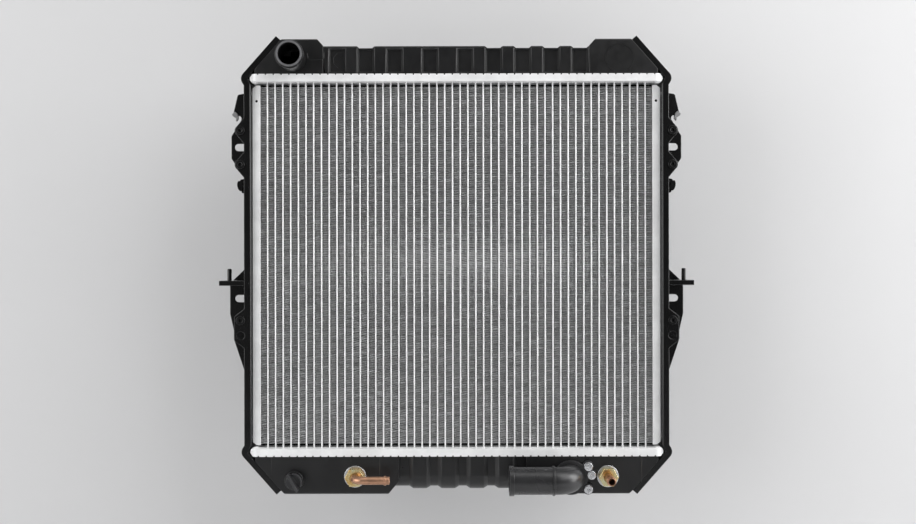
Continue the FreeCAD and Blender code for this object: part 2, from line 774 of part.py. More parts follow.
def top_tank():
    body = new_body("upper_tank")
    slope = ("top_box_slope", "(top_box_high - top_rib_high)")
    box_top, rib_top, low_top = tank_base(
        body, "top_box_edge", "top_box_edge", "top_box_high", "top_rib_high", "top_low_high", "top_round",
        slope, slope)
    block(body, "ribs", "-top_box_edge", "top_box_edge", "rib_deep / 2", TANK_LOW, rib_top, "top_round")
    left, middle, right = panel_centres()
    ledge = f"({CORE_HALF} + panel_foot)"
    for name, offset, back in (("front_panels", "low_deep / 2", True), ("rear_panels", "-low_deep / 2", False)):
        panels = new_sketch(body, name, "XZ", offset)
        for centre in left + middle + right:
            rectangle(panels, f"{centre} - panel_wide / 2", f"{centre} + panel_wide / 2", ledge,
                      f"{low_top} - top_round")
        sunk = pocket(panels, "rib_deep / 2 - low_deep / 2 + 1", back=back)
        sunk.setExpression("TaperAngle", link("atan(panel_slope / (rib_deep / 2 - low_deep / 2))"))
    notches = new_sketch(body, "notches", "XZ")
    for centre in left[1:2] + right[1:]:
        low_half, high_half = "panel_wide / 2", "(panel_wide / 2 + panel_slope)"
        top = f"({low_top} + panel_slope)"
        outline(notches, [(f"{centre} - {low_half}", low_top), (f"{centre} + {low_half}", low_top),
                          (f"{centre} + {high_half}", top), (f"{centre} - {high_half}", top)])
    pocket(notches, "rib_deep + 2", both=True)
    tank_hollow(body, low_top, "top_round")
    neck_x, neck_z = "-neck_side", f"({CORE_HALF} + neck_high)"
    neck = new_sketch(body, "neck", "XZ", "low_deep / 2")
    circle(neck, neck_x, neck_z, "neck_wide / 2")
    pad(neck, "box_deep / 2 - low_deep / 2 + neck_long")
    bead = new_sketch(body, "bead", "XZ", f"{TANK_FACE} + neck_long - bead_long - 1")
    circle(bead, neck_x, neck_z, "bead_wide / 2")
    pad(bead, "bead_long")
    blank = new_sketch(body, "blank", "XZ", TANK_FACE)
    circle(blank, "neck_side", neck_z, "mark_wide / 2")
    circle(blank, "neck_side", neck_z, "mark_wide / 2 - 1")
    pad(blank, "mark_proud")
    bore = new_sketch(body, "bore", "XZ", f"{TANK_FACE} + neck_long")
    circle(bore, neck_x, neck_z, "neck_bore / 2")
    pocket(bore, "neck_long + box_deep / 2 - low_deep / 2 + tank_wall + 1")
    place(insert_bores(body, "upper"), "top_tank")


def bottom_tank():
    body = new_body("lower_tank")
    box_top, rib_top, low_top = tank_base(
        body, "bottom_box_left", "bottom_box_right", "bottom_box_high", "bottom_rib_high", "bottom_low_high",
        "bottom_round", ("corner_run", "corner_rise"), ("0.5", "0.5"))
    rib_left = "(groove_first + groove_wide / 2)"
    rib = sloped_rib(body, rib_left, f"({rib_left} + panel_pitch - groove_wide)", low_top, rib_top)
    repeat([rib], "groove_count - 1", "panel_pitch")
    tank_hollow(body, low_top, "bottom_round")
    drain_z = f"({CORE_HALF} + drain_low)"
    boss = new_sketch(body, "boss", "XZ", "low_deep / 2")
    circle(boss, "-drain_side", drain_z, "drain_boss / 2")
    pad(boss, "box_deep / 2 - low_deep / 2 + drain_boss_long")
    deep = "(box_deep / 2 - low_deep / 2 + tank_wall + 1)"
    drain = new_sketch(body, "drain", "XZ", f"{TANK_FACE} + drain_boss_long")
    circle(drain, "-drain_side", drain_z, "drain_stem / 2 + drain_fit")
    pocket(drain, f"drain_boss_long + {deep}")
    port_z = f"({CORE_HALF} + cooler_low)"
    seats = new_sketch(body, "port_seats", "XZ", PORT_SEAT)
    circle(seats, "-cooler_left", port_z, "port_shoulder / 2 + 1")
    circle(seats, "cooler_right", port_z, "port_shoulder / 2 + 1")
    pad(seats, f"low_deep / 2 - {PORT_SEAT}")
    ports = new_sketch(body, "ports", "XZ", TANK_FACE)
    circle(ports, "-cooler_left", port_z, "port_wide / 2 + port_fit")
    circle(ports, "cooler_right", port_z, "port_wide / 2 + port_fit")
    outlet_z = f"({CORE_HALF} + outlet_low)"
    circle(ports, "outlet_side", outlet_z, "outlet_bore / 2")
    pocket(ports, f"{TANK_FACE} - {PORT_SEAT}")
    holes = new_sketch(body, "screw_holes", "XZ", TANK_FACE)
    for across, up in screw_places():
        circle(holes, f"outlet_side + {across}", f"{outlet_z} - {up}", "screw_wide / 2")
    pocket(holes, "screw_long + screw_cross")
    upright = insert_bores(body, "lower")
    place(mirrored("lower_turned", upright, TOP_BOTTOM), "bottom_tank")


# ---- brackets ---------------------------------------------------------------------------------------

def bracket_path():
    """The web's inner face from jog to tip, upper half: (x, z) of the jog's start, its end and the tip.
    Past the jog the web lies on the tank's end slant."""
    out = f"({WEB} + jog_out)"
    fall = f"(({out}) - {TANK_END}) * slant_rise / slant_run"
    tip_x = f"({TANK_END} - slant_run - tip_past)"
    tip_z = f"({SLANT_HIGH} + tip_past * slant_rise / slant_run)"
    return [(WEB, f"({CORE_HALF} - jog_below)"), (out, f"({SLANT_LOW} - {fall})"), (tip_x, tip_z)]


def outer_end(width):
    """The edge of a strip of this width along the bracket's slanted end: corner and tip, upper half."""
    corner, tip = bracket_path()[1:]
    sine, cosine = f"sin({SLANT_ANGLE})", f"cos({SLANT_ANGLE})"
    return [(f"({corner[0]} + {width} / {sine})", corner[1]),
            (f"({tip[0]} + {width} * {sine})", f"({tip[1]} + {width} * {cosine})")]


def strip(sketch, width, end_width, edge):
    """A bracket outline: the web's inner face on one side, and on the other a straight edge at width,
    with the points of edge let into it, low to high."""
    inner = bracket_path()
    corner, tip = outer_end(end_width)
    start = (f"({WEB} + {width})", inner[0][1])
    low = [(tip[0], f"-{tip[1]}"), (corner[0], f"-{corner[1]}"), (start[0], f"-{start[1]}")]
    high = [start, corner, tip]
    face = inner[::-1] + [(x, f"-{z}") for x, z in inner]
    outline(sketch, low + edge + high + face)


def bump(centre):
    """A round bulge of the front flange about a boss."""
    base = f"({WEB} + front_flange)"
    side = f"({WEB} + boss_out + boss_round * 0.6)"
    rise = "boss_round * 0.8"
    return [(base, f"{centre} - boss_slope"), (side, f"{centre} - {rise}", "boss_round"),
            (side, f"{centre} + {rise}"), (base, f"{centre} + boss_slope")]


def front_edge():
    base, out = f"({WEB} + front_flange)", f"({WEB} + pad_out)"
    lower = [(base, "(pad_low - pad_slope)"), (out, "pad_low"), (out, "pad_high"),
             (base, "(pad_high + pad_slope)")]
    return lower + bump("(boss_high - boss_spacing)") + bump("boss_high")


SLOT_HIGH = "(core_drop + slot_rise / 2)"
SLOT_LOW = "(core_drop - slot_rise / 2)"


def rear_edge():
    """Ears round the mounting slots and a tab above them."""
    base = f"({WEB} + rear_flange)"
    low_out = f"({WEB} + slot_out + low_ear_past)"
    tail = f"({WEB} + slot_out + tail_past)"
    out = f"({WEB} + slot_out + ear_past)"
    low_half, half = "low_ear_flat / 2", "ear_flat / 2"
    lower = [
        (base, f"({SLOT_LOW} - {low_half} - ear_slope - tail_long - tail_fade)"),
        (tail, f"({SLOT_LOW} - {low_half} - ear_slope - tail_long)"),
        (tail, f"({SLOT_LOW} - {low_half} - ear_slope)"),
        (low_out, f"({SLOT_LOW} - {low_half})"), (low_out, f"({SLOT_LOW} + {low_half})"),
        (base, f"({SLOT_LOW} + {low_half} + ear_slope)")]
    neck = f"({WEB} + tab_neck_out)"
    tab_low = f"({SLOT_HIGH} + tab_above)"
    upper = [
        (base, f"({SLOT_HIGH} - {half} - ear_waist)"), (out, f"({SLOT_HIGH} - {half})"),
        (out, f"({SLOT_HIGH} + {half})"), (neck, f"({SLOT_HIGH} + {half} + ear_slope)")]
    tab = [(neck, tab_low), (f"({WEB} + tab_out)", tab_low),
           (f"({WEB} + tab_top_out)", f"({tab_low} + tab_high)"), (base, f"({tab_low} + tab_high + 2)")]
    return lower + upper + tab


def boss_places():
    """Middles of the threaded bosses on a bracket's front flange."""
    across = f"({WEB} + boss_out)"
    return [(across, "boss_high"), (across, "(boss_high - boss_spacing)"), (across, "pad_boss_high")]


def brackets():
    body = new_body("bracket")
    deep = "bracket_deep / 2"
    web = new_sketch(body, "web", "XZ")
    strip(web, "bracket_sheet", "bracket_sheet", [])
    pad(web, "bracket_deep", both=True)
    front = new_sketch(body, "front", "XZ", f"{deep} - flange_sheet")
    strip(front, "front_flange", "end_flange", front_edge())
    pad(front, "flange_sheet")
    rear = new_sketch(body, "rear", "XZ", f"-{deep}")
    strip(rear, "rear_flange", "end_flange", rear_edge())
    pad(rear, "flange_sheet")
    collars = new_sketch(body, "collars", "XZ", deep)
    for across, up in boss_places():
        circle(collars, across, up, "collar_wide / 2")
    pad(collars, "collar_long")
    bores = new_sketch(body, "bores", "XZ", f"{deep} + collar_long")
    for across, up in boss_places():
        circle(bores, across, up, "stud_bore / 2")
    circle(bores, f"{WEB} + boss_out", "plain_hole_low", "plain_hole / 2")
    pocket(bores, "collar_long + flange_sheet")
    slots = new_sketch(body, "slots", "XZ", f"-{deep} + flange_sheet")
    for height in (SLOT_HIGH, SLOT_LOW):
        obround(slots, f"({WEB} + slot_out)", height, "(slot_long - slot_wide) / 2", "slot_wide / 2")
    pocket(slots, "flange_sheet")
    up, forward = FreeCAD.Vector(0, 0, 1), FreeCAD.Vector(0, 1, 0)
    round_edges(body, "bends", "bend_round", lambda edge: runs_along(edge, up)
                and near(edge.CenterOfMass.x, WEB) and near(abs(edge.CenterOfMass.y), deep))
    corner = outer_end("end_flange")[0]
    round_edges(body, "end_corners", "end_round", lambda edge: runs_along(edge, forward)
                and near(edge.CenterOfMass.x, corner[0]) and near(abs(edge.CenterOfMass.z), corner[1]))
    ears = value(f"{WEB} + rear_flange")
    round_edges(body, "ear_corners", "ear_round", lambda edge: runs_along(edge, forward)
                and edge.CenterOfMass.x > ears - 0.01 and edge.CenterOfMass.y > 0
                and abs(edge.CenterOfMass.z) < value(CORE_HALF) - 1 and edge.CenterOfMass.x < ears + 60)
    hole = slanted(cylinder("bracket_hole", "bolt_wide / 2 + bolt_fit", "2 * bracket_sheet"), "-bracket_sheet / 2")
    low_hole = mirrored("bracket_hole_low", hole, TOP_BOTTOM)
    pierced = cut("bracket_pierced", body, fuse("bracket_holes", [hole, low_hole]))
    right = place(pierced, "right_bracket")
    opposite("left_bracket", right, LEFT_RIGHT)


def hexagon(sketch, across, up, across_flats):
    """A hexagon with two corners level with its middle."""
    corner = f"(({across_flats}) / 2 / cos(30 deg))"
    turns = [(f"{across} + {corner} * cos({60 * step} deg)", f"{up} + {corner} * sin({60 * step} deg)")
             for step in range(6)]
    outline(sketch, turns)


def weld_nuts():
    """Hexagon nuts welded behind the front flange, one to each threaded boss."""
    body = new_body("weld_nuts")
    sketch = new_sketch(body, "nuts", "XZ", "bracket_deep / 2 - flange_sheet - nut_thick")
    for across, up in boss_places():
        hexagon(sketch, across, up, "nut_across")
        circle(sketch, across, up, "stud_bore / 2")
    pad(sketch, "nut_thick")
    right = place(body, "right_weld_nuts")
    opposite("left_weld_nuts", right, LEFT_RIGHT)


def pin_shelves():
    """A plate across the channel, bent down at its front edge, that carries the locating pin."""
    body = new_body("shelf")
    root = f"({WEB} + bracket_sheet)"
    end = f"({WEB} + shelf_out)"
    half = "(bracket_deep / 2 - flange_sheet - shelf_inset)"
    plate = new_sketch(body, "plate", "XY", "shelf_high - shelf_sheet")
    outline(plate, [(root, f"-{half}"), (end, f"-{half}"), (end, half), (root, half)])
    pad(plate, "shelf_sheet")
    lip = new_sketch(body, "lip", "XZ", f"{half} - shelf_sheet")
    rectangle(lip, root, end, "shelf_high - shelf_lip", "shelf_high")
    pad(lip, "shelf_sheet")
    hole = new_sketch(body, "hole", "XY", "shelf_high")
    circle(hole, f"{WEB} + pin_out", "0", "rivet_wide / 2")
    pocket(hole, "shelf_sheet")
    right = place(body, "right_pin_shelf")
    opposite("left_pin_shelf", right, LEFT_RIGHT)


def locating_pins():
    """Stepped pins riveted into the shelves, with a cone at the top."""
    body = new_body("pin")
    foot = new_sketch(body, "rivet", "XY", "-shelf_sheet")
    circle(foot, "0", "0", "rivet_wide / 2")
    pad(foot, "shelf_sheet")
    head = new_sketch(body, "head", "XY", "-shelf_sheet - 1")
    circle(head, "0", "0", "pin_wide / 2")
    pad(head, "1")
    shank = new_sketch(body, "shank", "XY")
    circle(shank, "0", "0", "pin_wide / 2")
    pad(shank, "pin_tall")
    round_edges(body, "nose", "pin_wide / 4", lambda edge: near(edge.CenterOfMass.z, "pin_tall")
                and edge.Curve.TypeId == "Part::GeomCircle")
    right = place(body, "right_locating_pin", f"{WEB} + pin_out", "0", "shelf_high")
    opposite("left_locating_pin", right, LEFT_RIGHT)


def clip_tabs():
    """Bent tabs welded to the rear flange, for a hose or a harness."""
    body = new_body("clip")
    root = f"({WEB} + bracket_sheet)"
    end = f"({WEB} + clip_out)"
    rear = "(bracket_deep / 2 - flange_sheet)"
    plate = new_sketch(body, "plate", "XZ", f"-{rear}")
    rectangle(plate, root, end, "clip_low", "clip_low + clip_high")
    pad(plate, "clip_sheet")
    hook = new_sketch(body, "hook", "XZ", f"-{rear} + clip_sheet")
    rectangle(hook, f"{end} - clip_sheet", end, "clip_low", "clip_low + clip_high")
    pad(hook, "clip_hook")
    right = place(body, "right_clip_tab")
    opposite("left_clip_tab", right, LEFT_RIGHT)


def bracket_bolts():
    """Flanged bolts square to the four end slants, and the brass inserts that they screw into."""
    body = new_body("bolt")
    washer = new_sketch(body, "washer", "XY")
    circle(washer, "0", "0", "bolt_flange / 2")
    pad(washer, "bolt_flange_thick")
    head = new_sketch(body, "head", "XY", "bolt_flange_thick")
    hexagon(head, "0", "0", "bolt_head")
    pad(head, "bolt_head_thick")
    shank = new_sketch(body, "shank", "XY")
    circle(shank, "0", "0", "bolt_wide / 2 - bolt_fit")
    pad(shank, "bracket_sheet + bolt_past", back=True)
    four_corners("bracket_bolts", slanted(body, "bracket_sheet"))
    ring = new_body("insert")
    section = new_sketch(ring, "ring", "XY", "-insert_long")
    circle(section, "0", "0", "insert_wide / 2")
    circle(section, "0", "0", "bolt_wide / 2")
    pad(section, "insert_long")
    four_corners("bracket_inserts", slanted(ring, "0"))


def four_corners(label, piece):
    """A piece at the upper right end slant, with its images at the other three."""
    left = mirrored(label + "_left", piece, LEFT_RIGHT)
    low = mirrored(label + "_low", piece, TOP_BOTTOM)
    low_left = mirrored(label + "_low_left", low, LEFT_RIGHT)
    place(group(label + "_group", [piece, left, low, low_left]), label)


# ---- outlet elbow -----------------------------------------------------------------------------------

def screw_places():
    """Screw middles from the elbow's axis: a fan of three on the side away from the pipe."""
    radius = "screw_circle / 2"
    return [(f"({radius} * cos({turn} * 1 deg))", f"({radius} * sin({turn} * 1 deg))")
            for turn in ("screw_fan", "screw_middle", "-screw_fan")]


def outlet_elbow():
    body = new_body("elbow")
    face = TANK_FACE
    flange = new_sketch(body, "flange", "XZ", face)
    circle(flange, "0", "0", "outlet_flange / 2")
    pad(flange, "outlet_flange_thick")
    for step, (across, up) in enumerate(screw_places()):
        ear = new_sketch(body, f"ear_{step}", "XZ", face)
        circle(ear, across, up, "outlet_ear / 2")
        pad(ear, "outlet_flange_thick")
    axis_y = f"(-{face} - outlet_reach)"
    end_x = "(outlet_end - outlet_side)"
    for name, width, kind in (("pipe", "outlet_wide", "AdditivePipe"), ("bore", "outlet_bore", "SubtractivePipe")):
        if kind == "SubtractivePipe":
            pipe_rings(body, axis_y, end_x)
        spine = new_sketch(body, name + "_path", "XY")
        elbow_spine(spine, ("0", f"(-{face})"), axis_y, "(outlet_reach - 0.5)", end_x)
        profile = new_sketch(body, name + "_section", "XZ", face)
        circle(profile, "0", "0", f"{width} / 2")
        sweep(body, name, kind, profile, spine)
    holes = new_sketch(body, "screw_holes", "XZ", f"{face} + outlet_flange_thick")
    for across, up in screw_places():
        circle(holes, across, up, "screw_wide / 2 + ring_fit")
    pocket(holes, "outlet_flange_thick")
    groove = new_sketch(body, "groove", "XZ", face)
    circle(groove, "0", "0", "ring_circle / 2 + ring_thick / 2 + ring_fit")
    circle(groove, "0", "0", "ring_circle / 2 - ring_thick / 2 - ring_fit")
    pocket(groove, "ring_thick * 0.8", back=True)
    place(body, "outlet_elbow", "outlet_side", "0", f"-({CORE_HALF} + outlet_low)")


def pipe_rings(body, axis_y, end_x):
    """The hose bead at the elbow's mouth and the step ring near its bend."""
    rings = (("mouth_bead", end_x, "outlet_bead_long"),
             ("step_ring", "(outlet_ring_at - outlet_side)", "outlet_ring_long"))
    for name, start, length in rings:
        ring = new_sketch(body, name, "YZ", start)
        circle(ring, axis_y, "0", "outlet_bead / 2")
        pad(ring, length)


def outlet_seal_and_screws():
    ring = new_body("o_ring")
    section = new_sketch(ring, "ring", "XZ", TANK_FACE)
    circle(section, "0", "0", "ring_circle / 2 + ring_thick / 2")
    circle(section, "0", "0", "ring_circle / 2 - ring_thick / 2")
    pad(section, "ring_thick * 0.8 - ring_fit")
    low = f"-({CORE_HALF} + outlet_low)"
    place(ring, "outlet_o_ring", "outlet_side", "0", low)
    screws = new_body("screws")
    seat = f"{TANK_FACE} + outlet_flange_thick"
    heads = new_sketch(screws, "heads", "XZ", seat)
    shanks = new_sketch(screws, "shanks", "XZ", seat)
    for across, up in screw_places():
        circle(heads, across, up, "screw_head / 2")
        circle(shanks, across, up, "screw_wide / 2")
    pad(heads, "screw_head_thick")
    pad(shanks, "outlet_flange_thick + screw_long", back=True)
    for name, wide, high in (("cross_bar", "screw_head / 2", "screw_cross"),
                             ("cross_post", "screw_cross", "screw_head / 2")):
        cross = new_sketch(screws, name, "XZ", f"{seat} + screw_head_thick")
        for across, up in screw_places():
            rectangle(cross, f"{across} - {wide} / 2", f"{across} + {wide} / 2", f"{up} - {high} / 2",
                      f"{up} + {high} / 2")
        pocket(cross, "screw_cross")
    place(screws, "outlet_screws", "outlet_side", "0", low)


# ---- oil cooler -------------------------------------------------------------------------------------

COOLER_LOW = f"-({CORE_HALF} + cooler_low)"
COOLER_START = "(-cooler_left - cooler_past)"
COOLER_LONG = "(cooler_left + cooler_right + 2 * cooler_past)"


def cooler_core():
    """Two tubes, one in the other, with a folded sheet between them and a ring at each end."""
    outer = new_body("cooler_outer")
    section = new_sketch(outer, "section", "YZ", COOLER_START)
    circle(section, "0", "0", "cooler_wide / 2")
    circle(section, "0", "0", "cooler_wide / 2 - cooler_wall")
    pad(section, COOLER_LONG)
    ports = new_sketch(outer, "ports", "XZ", "cooler_wide / 2")
    circle(ports, "-cooler_left", "0", "port_bore / 2")
    circle(ports, "cooler_right", "0", "port_bore / 2")
    pocket(ports, "cooler_wide / 4")
    place(outer, "cooler_outer_tube", "0", "0", COOLER_LOW)
    inner = new_body("cooler_inner")
    section = new_sketch(inner, "section", "YZ", COOLER_START)
    circle(section, "0", "0", "cooler_inner / 2")
    circle(section, "0", "0", "cooler_inner / 2 - cooler_inner_wall")
    pad(section, COOLER_LONG)
    place(inner, "cooler_inner_tube", "0", "0", COOLER_LOW)
    rings = new_body("cooler_rings")
    for name, start in (("left", COOLER_START), ("right", f"{COOLER_START} + {COOLER_LONG} - cooler_ring")):
        section = new_sketch(rings, name, "YZ", start)
        circle(section, "0", "0", "cooler_wide / 2 - cooler_wall")
        circle(section, "0", "0", "cooler_inner / 2")
        pad(section, "cooler_ring")
    place(rings, "cooler_end_rings", "0", "0", COOLER_LOW)
    folded = new_body("cooler_folds")
    section = new_sketch(folded, "folds", "YZ", f"{COOLER_START} + cooler_ring")
    low, high = "(cooler_inner / 2 + fold_fit)", "(cooler_wide / 2 - cooler_wall - fold_fit)"
    star(section, f"({low} + fold_sheet)", high)
    star(section, low, f"({high} - fold_sheet)")
    pad(section, f"{COOLER_LONG} - 2 * cooler_ring")
    place(folded, "cooler_turbulator", "0", "0", COOLER_LOW)


def star(sketch, low, high):
    """A closed zigzag about the origin between two radii, with fold_count points."""
    count = int(value("fold_count"))
    corners = []
    for step in range(2 * count):
        radius = high if step % 2 == 0 else low
        turn = f"({180 * step} deg / fold_count)"
        corners.append((f"{radius} * cos({turn})", f"{radius} * sin({turn})"))
    outline(sketch, corners)


def cooler_ports():
    """Threaded stubs brazed to the cooler, with gaskets inside the tank and washers and nuts outside."""
    stubs = new_body("ports")
    shoulder = new_sketch(stubs, "shoulder", "XZ")
    thread = new_sketch(stubs, "thread", "XZ")
    for across in ("-cooler_left", "cooler_right"):
        circle(shoulder, across, "0", "port_shoulder / 2")
        circle(thread, across, "0", "port_wide / 2")
    pad(shoulder, f"{PORT_SEAT} - port_gasket")
    pad(thread, f"{TANK_FACE} + port_past")
    bores = new_sketch(stubs, "bores", "XZ", f"{TANK_FACE} + port_past")
    for across in ("-cooler_left", "cooler_right"):
        circle(bores, across, "0", "port_bore / 2")
    pocket(bores, f"{TANK_FACE} + port_past")
    saddle = new_sketch(stubs, "saddle", "YZ", f"{COOLER_START} - 1")
    circle(saddle, "0", "0", "cooler_wide / 2")
    pocket(saddle, f"{COOLER_LONG} + 2", back=True)
    place(stubs, "cooler_ports", "0", "0", COOLER_LOW)
    rings = (("cooler_gaskets", f"{PORT_SEAT} - port_gasket", "port_shoulder", "port_gasket"),
             ("cooler_washers", TANK_FACE, "washer_wide", "washer_thick"))
    for label, start, width, length in rings:
        body = new_body(label + "_rings")
        section = new_sketch(body, "section", "XZ", start)
        for across in ("-cooler_left", "cooler_right"):
            circle(section, across, "0", f"{width} / 2")
            circle(section, across, "0", "port_wide / 2 + port_fit")
        pad(section, length)
        place(body, label, "0", "0", COOLER_LOW)
    nuts = new_body("port_nuts")
    section = new_sketch(nuts, "section", "XZ", f"{TANK_FACE} + washer_thick")
    for across in ("-cooler_left", "cooler_right"):
        hexagon(section, across, "0", "port_nut")
        circle(section, across, "0", "port_wide / 2 + port_fit")
    pad(section, "port_nut_thick")
    place(nuts, "cooler_nuts", "0", "0", COOLER_LOW)


def cooler_pipes():
    """Steel pipes brazed to the stubs: the left one turns to the right, the right one is straight."""
    start = f"(-{TANK_FACE} - port_past)"
    left = new_body("left_pipe")
    axis_y = f"({start} - left_pipe_out + pipe_bend)"
    for name, width, kind in (("pipe", "pipe_wide", "AdditivePipe"), ("bore", "pipe_bore", "SubtractivePipe")):
        if kind == "SubtractivePipe":
            bead = new_sketch(left, "bead", "YZ", "left_pipe_run - pipe_bead_in")
            circle(bead, axis_y, "0", "pipe_bead / 2")
            pad(bead, "pipe_bead_long")
        spine = new_sketch(left, name + "_path", "XY")
        elbow_spine(spine, ("0", start), axis_y, "pipe_bend", "left_pipe_run")
        profile = new_sketch(left, name + "_section", "XZ", f"-{start}")
        circle(profile, "0", "0", f"{width} / 2")
        sweep(left, name, kind, profile, spine)
    place(left, "left_cooler_pipe", "-cooler_left", "0", COOLER_LOW)
    right = new_body("right_pipe")
    rings = (("pipe", f"-{start}", "pipe_wide", "right_pipe_long"),
             ("bead", f"-{start} + right_pipe_long - pipe_bead_in", "pipe_bead", "pipe_bead_long"))
    for name, offset, width, length in rings:
        section = new_sketch(right, name, "XZ", offset)
        circle(section, "0", "0", f"{width} / 2")
        pad(section, length)
    bore = new_sketch(right, "bore", "XZ", f"-{start} + right_pipe_long")
    circle(bore, "0", "0", "pipe_bore / 2")
    pocket(bore, "right_pipe_long")
    place(right, "right_cooler_pipe", "cooler_right", "0", COOLER_LOW)


# ---- drain cock -------------------------------------------------------------------------------------

def drain():
    """A winged plug that screws into the lower tank's boss, with its sealing ring."""
    low = f"-({CORE_HALF} + drain_low)"
    boss = "(box_deep / 2 + drain_boss_long)"
    seal = new_body("seal")
    ring = new_sketch(seal, "ring", "XZ", f"{boss} + drain_gap")
    circle(ring, "0", "0", "seal_wide / 2")
    circle(ring, "0", "0", "drain_stem / 2 + drain_gap")
    pad(ring, "seal_thick")
    place(seal, "drain_seal", "-drain_side", "0", low)
    cock = new_body("cock")
    seat = f"({boss} + seal_thick + 2 * drain_gap)"
    head = new_sketch(cock, "head", "XZ", seat)
    circle(head, "0", "0", "drain_head / 2")
    pad(head, "drain_head_thick")
    stem = new_sketch(cock, "stem", "XZ", seat)
    circle(stem, "0", "0", "drain_stem / 2")
    pad(stem, "drain_stem_long", back=True)
    ridge = new_sketch(cock, "ridge", "XZ", f"{seat} + drain_head_thick")
    first, last = [(f"arc_wide / 2 * cos(wing_angle * 1 deg - {turn} * 1 deg)",
                    f"-arc_wide / 2 * sin(wing_angle * 1 deg - {turn} * 1 deg)")
                   for turn in ("arc_start", "(180 - arc_start)")]
    outline(ridge, [(*first, "arc_wide / 2"), last])
    pad(ridge, "arc_high")
    dish = new_sketch(cock, "dish", "XZ", f"{seat} + drain_head_thick")
    circle(dish, "0", "0", "arc_wide / 2 - arc_sheet")
    pocket(dish, "arc_high + 1", back=True)
    wing = new_sketch(cock, "wing", "XZ", f"{seat} + drain_head_thick")
    along = ("cos(wing_angle * 1 deg)", "sin(wing_angle * 1 deg)")
    ends = []
    for way, side in ((1, 1), (-1, 1), (-1, -1), (1, -1)):
        ends.append((f"{way} * wing_long / 2 * {along[0]} - {side} * wing_thick / 2 * {along[1]}",
                     f"-{way} * wing_long / 2 * {along[1]} - {side} * wing_thick / 2 * {along[0]}"))
    outline(wing, ends[::-1])
    pad(wing, "wing_high")
    place(cock, "drain_cock", "-drain_side", "0", low)


# ---- build, check and write -------------------------------------------------------------------------

def check():
    """Stop if any object failed, if a cut took nothing away, or if a piece is empty or not valid."""
    for obj in doc.Objects:
        if {"Invalid", "Error"} & set(obj.State):
            raise RuntimeError(f"{obj.Name}: {obj.State}")
        if obj.TypeId in ("PartDesign::Pocket", "PartDesign::SubtractivePipe"):
            if obj.Shape.Volume > obj.BaseFeature.Shape.Volume - 0.01:
                raise RuntimeError(f"{obj.Name}: cuts nothing")
    for obj in nodes:
        if obj.Shape.isNull() or not obj.Shape.isValid() or not obj.Shape.Solids:
            raise RuntimeError(f"{obj.Label}: no valid solid")


for build in (core_tubes, core_fins, side_plates, headers, gaskets, top_tank, bottom_tank, brackets,
              weld_nuts, pin_shelves, locating_pins, clip_tabs, bracket_bolts, outlet_elbow,
              outlet_seal_and_screws, cooler_core, cooler_ports, cooler_pipes, drain):
    build()
doc.recompute()
check()
os.makedirs("parts", exist_ok=True)
for obj in nodes:
    obj.Shape.exportStep(f"parts/{obj.Label}.step")
    print(obj.Label, len(obj.Shape.Solids), round(obj.Shape.Volume))
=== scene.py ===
import json
import math
import bmesh
import bpy
import numpy as np
from bpy.props import FloatProperty, FloatVectorProperty, IntProperty, PointerProperty
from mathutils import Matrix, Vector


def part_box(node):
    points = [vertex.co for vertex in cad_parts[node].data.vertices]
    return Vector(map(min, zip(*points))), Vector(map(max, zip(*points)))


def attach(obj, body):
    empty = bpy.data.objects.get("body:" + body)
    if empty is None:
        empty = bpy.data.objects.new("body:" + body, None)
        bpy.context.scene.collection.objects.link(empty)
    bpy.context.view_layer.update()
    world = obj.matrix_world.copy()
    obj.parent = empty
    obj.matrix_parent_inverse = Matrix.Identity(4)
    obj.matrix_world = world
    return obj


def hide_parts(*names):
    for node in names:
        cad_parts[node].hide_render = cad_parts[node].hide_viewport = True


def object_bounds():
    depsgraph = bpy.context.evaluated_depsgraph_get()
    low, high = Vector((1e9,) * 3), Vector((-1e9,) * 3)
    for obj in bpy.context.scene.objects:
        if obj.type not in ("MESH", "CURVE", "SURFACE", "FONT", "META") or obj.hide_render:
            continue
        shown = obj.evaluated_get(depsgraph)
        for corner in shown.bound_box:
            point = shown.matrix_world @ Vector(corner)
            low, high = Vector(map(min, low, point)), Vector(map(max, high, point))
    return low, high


bl_info = {
    "name": "Car radiator",
    "version": (1, 0, 0),
    "blender": (4, 5, 0),
    "location": "3D View > Sidebar > Radiator",
    "description": "Dresses a packed car radiator: folded fins, tanks, brackets and fittings",
    "category": "Object",
}

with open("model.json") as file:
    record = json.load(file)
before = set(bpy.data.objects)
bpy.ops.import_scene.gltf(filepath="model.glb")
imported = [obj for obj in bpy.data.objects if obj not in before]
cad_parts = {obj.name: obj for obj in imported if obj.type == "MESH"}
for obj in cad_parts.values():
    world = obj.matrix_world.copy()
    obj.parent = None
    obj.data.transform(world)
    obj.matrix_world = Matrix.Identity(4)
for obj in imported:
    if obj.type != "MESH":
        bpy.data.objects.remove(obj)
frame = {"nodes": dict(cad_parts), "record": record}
CAD_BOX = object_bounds()
MM = 0.001
CORE_LOW, CORE_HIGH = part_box("core_fins")
CORE_MIDDLE = (CORE_LOW + CORE_HIGH) / 2


# ---- settings ---------------------------------------------------------------------------------------

def length(name, description, default):
    return FloatProperty(name=name, description=description, default=default, min=0.0, subtype="DISTANCE",
                         unit="LENGTH", precision=5)


def power(name, description, default):
    return FloatProperty(name=name, description=description + ", in watts", default=default, min=0.0)


def colour(name, description, default):
    return FloatVectorProperty(name=name, description=description, default=default, size=3, min=0.0,
                               max=1.0, subtype="COLOR")


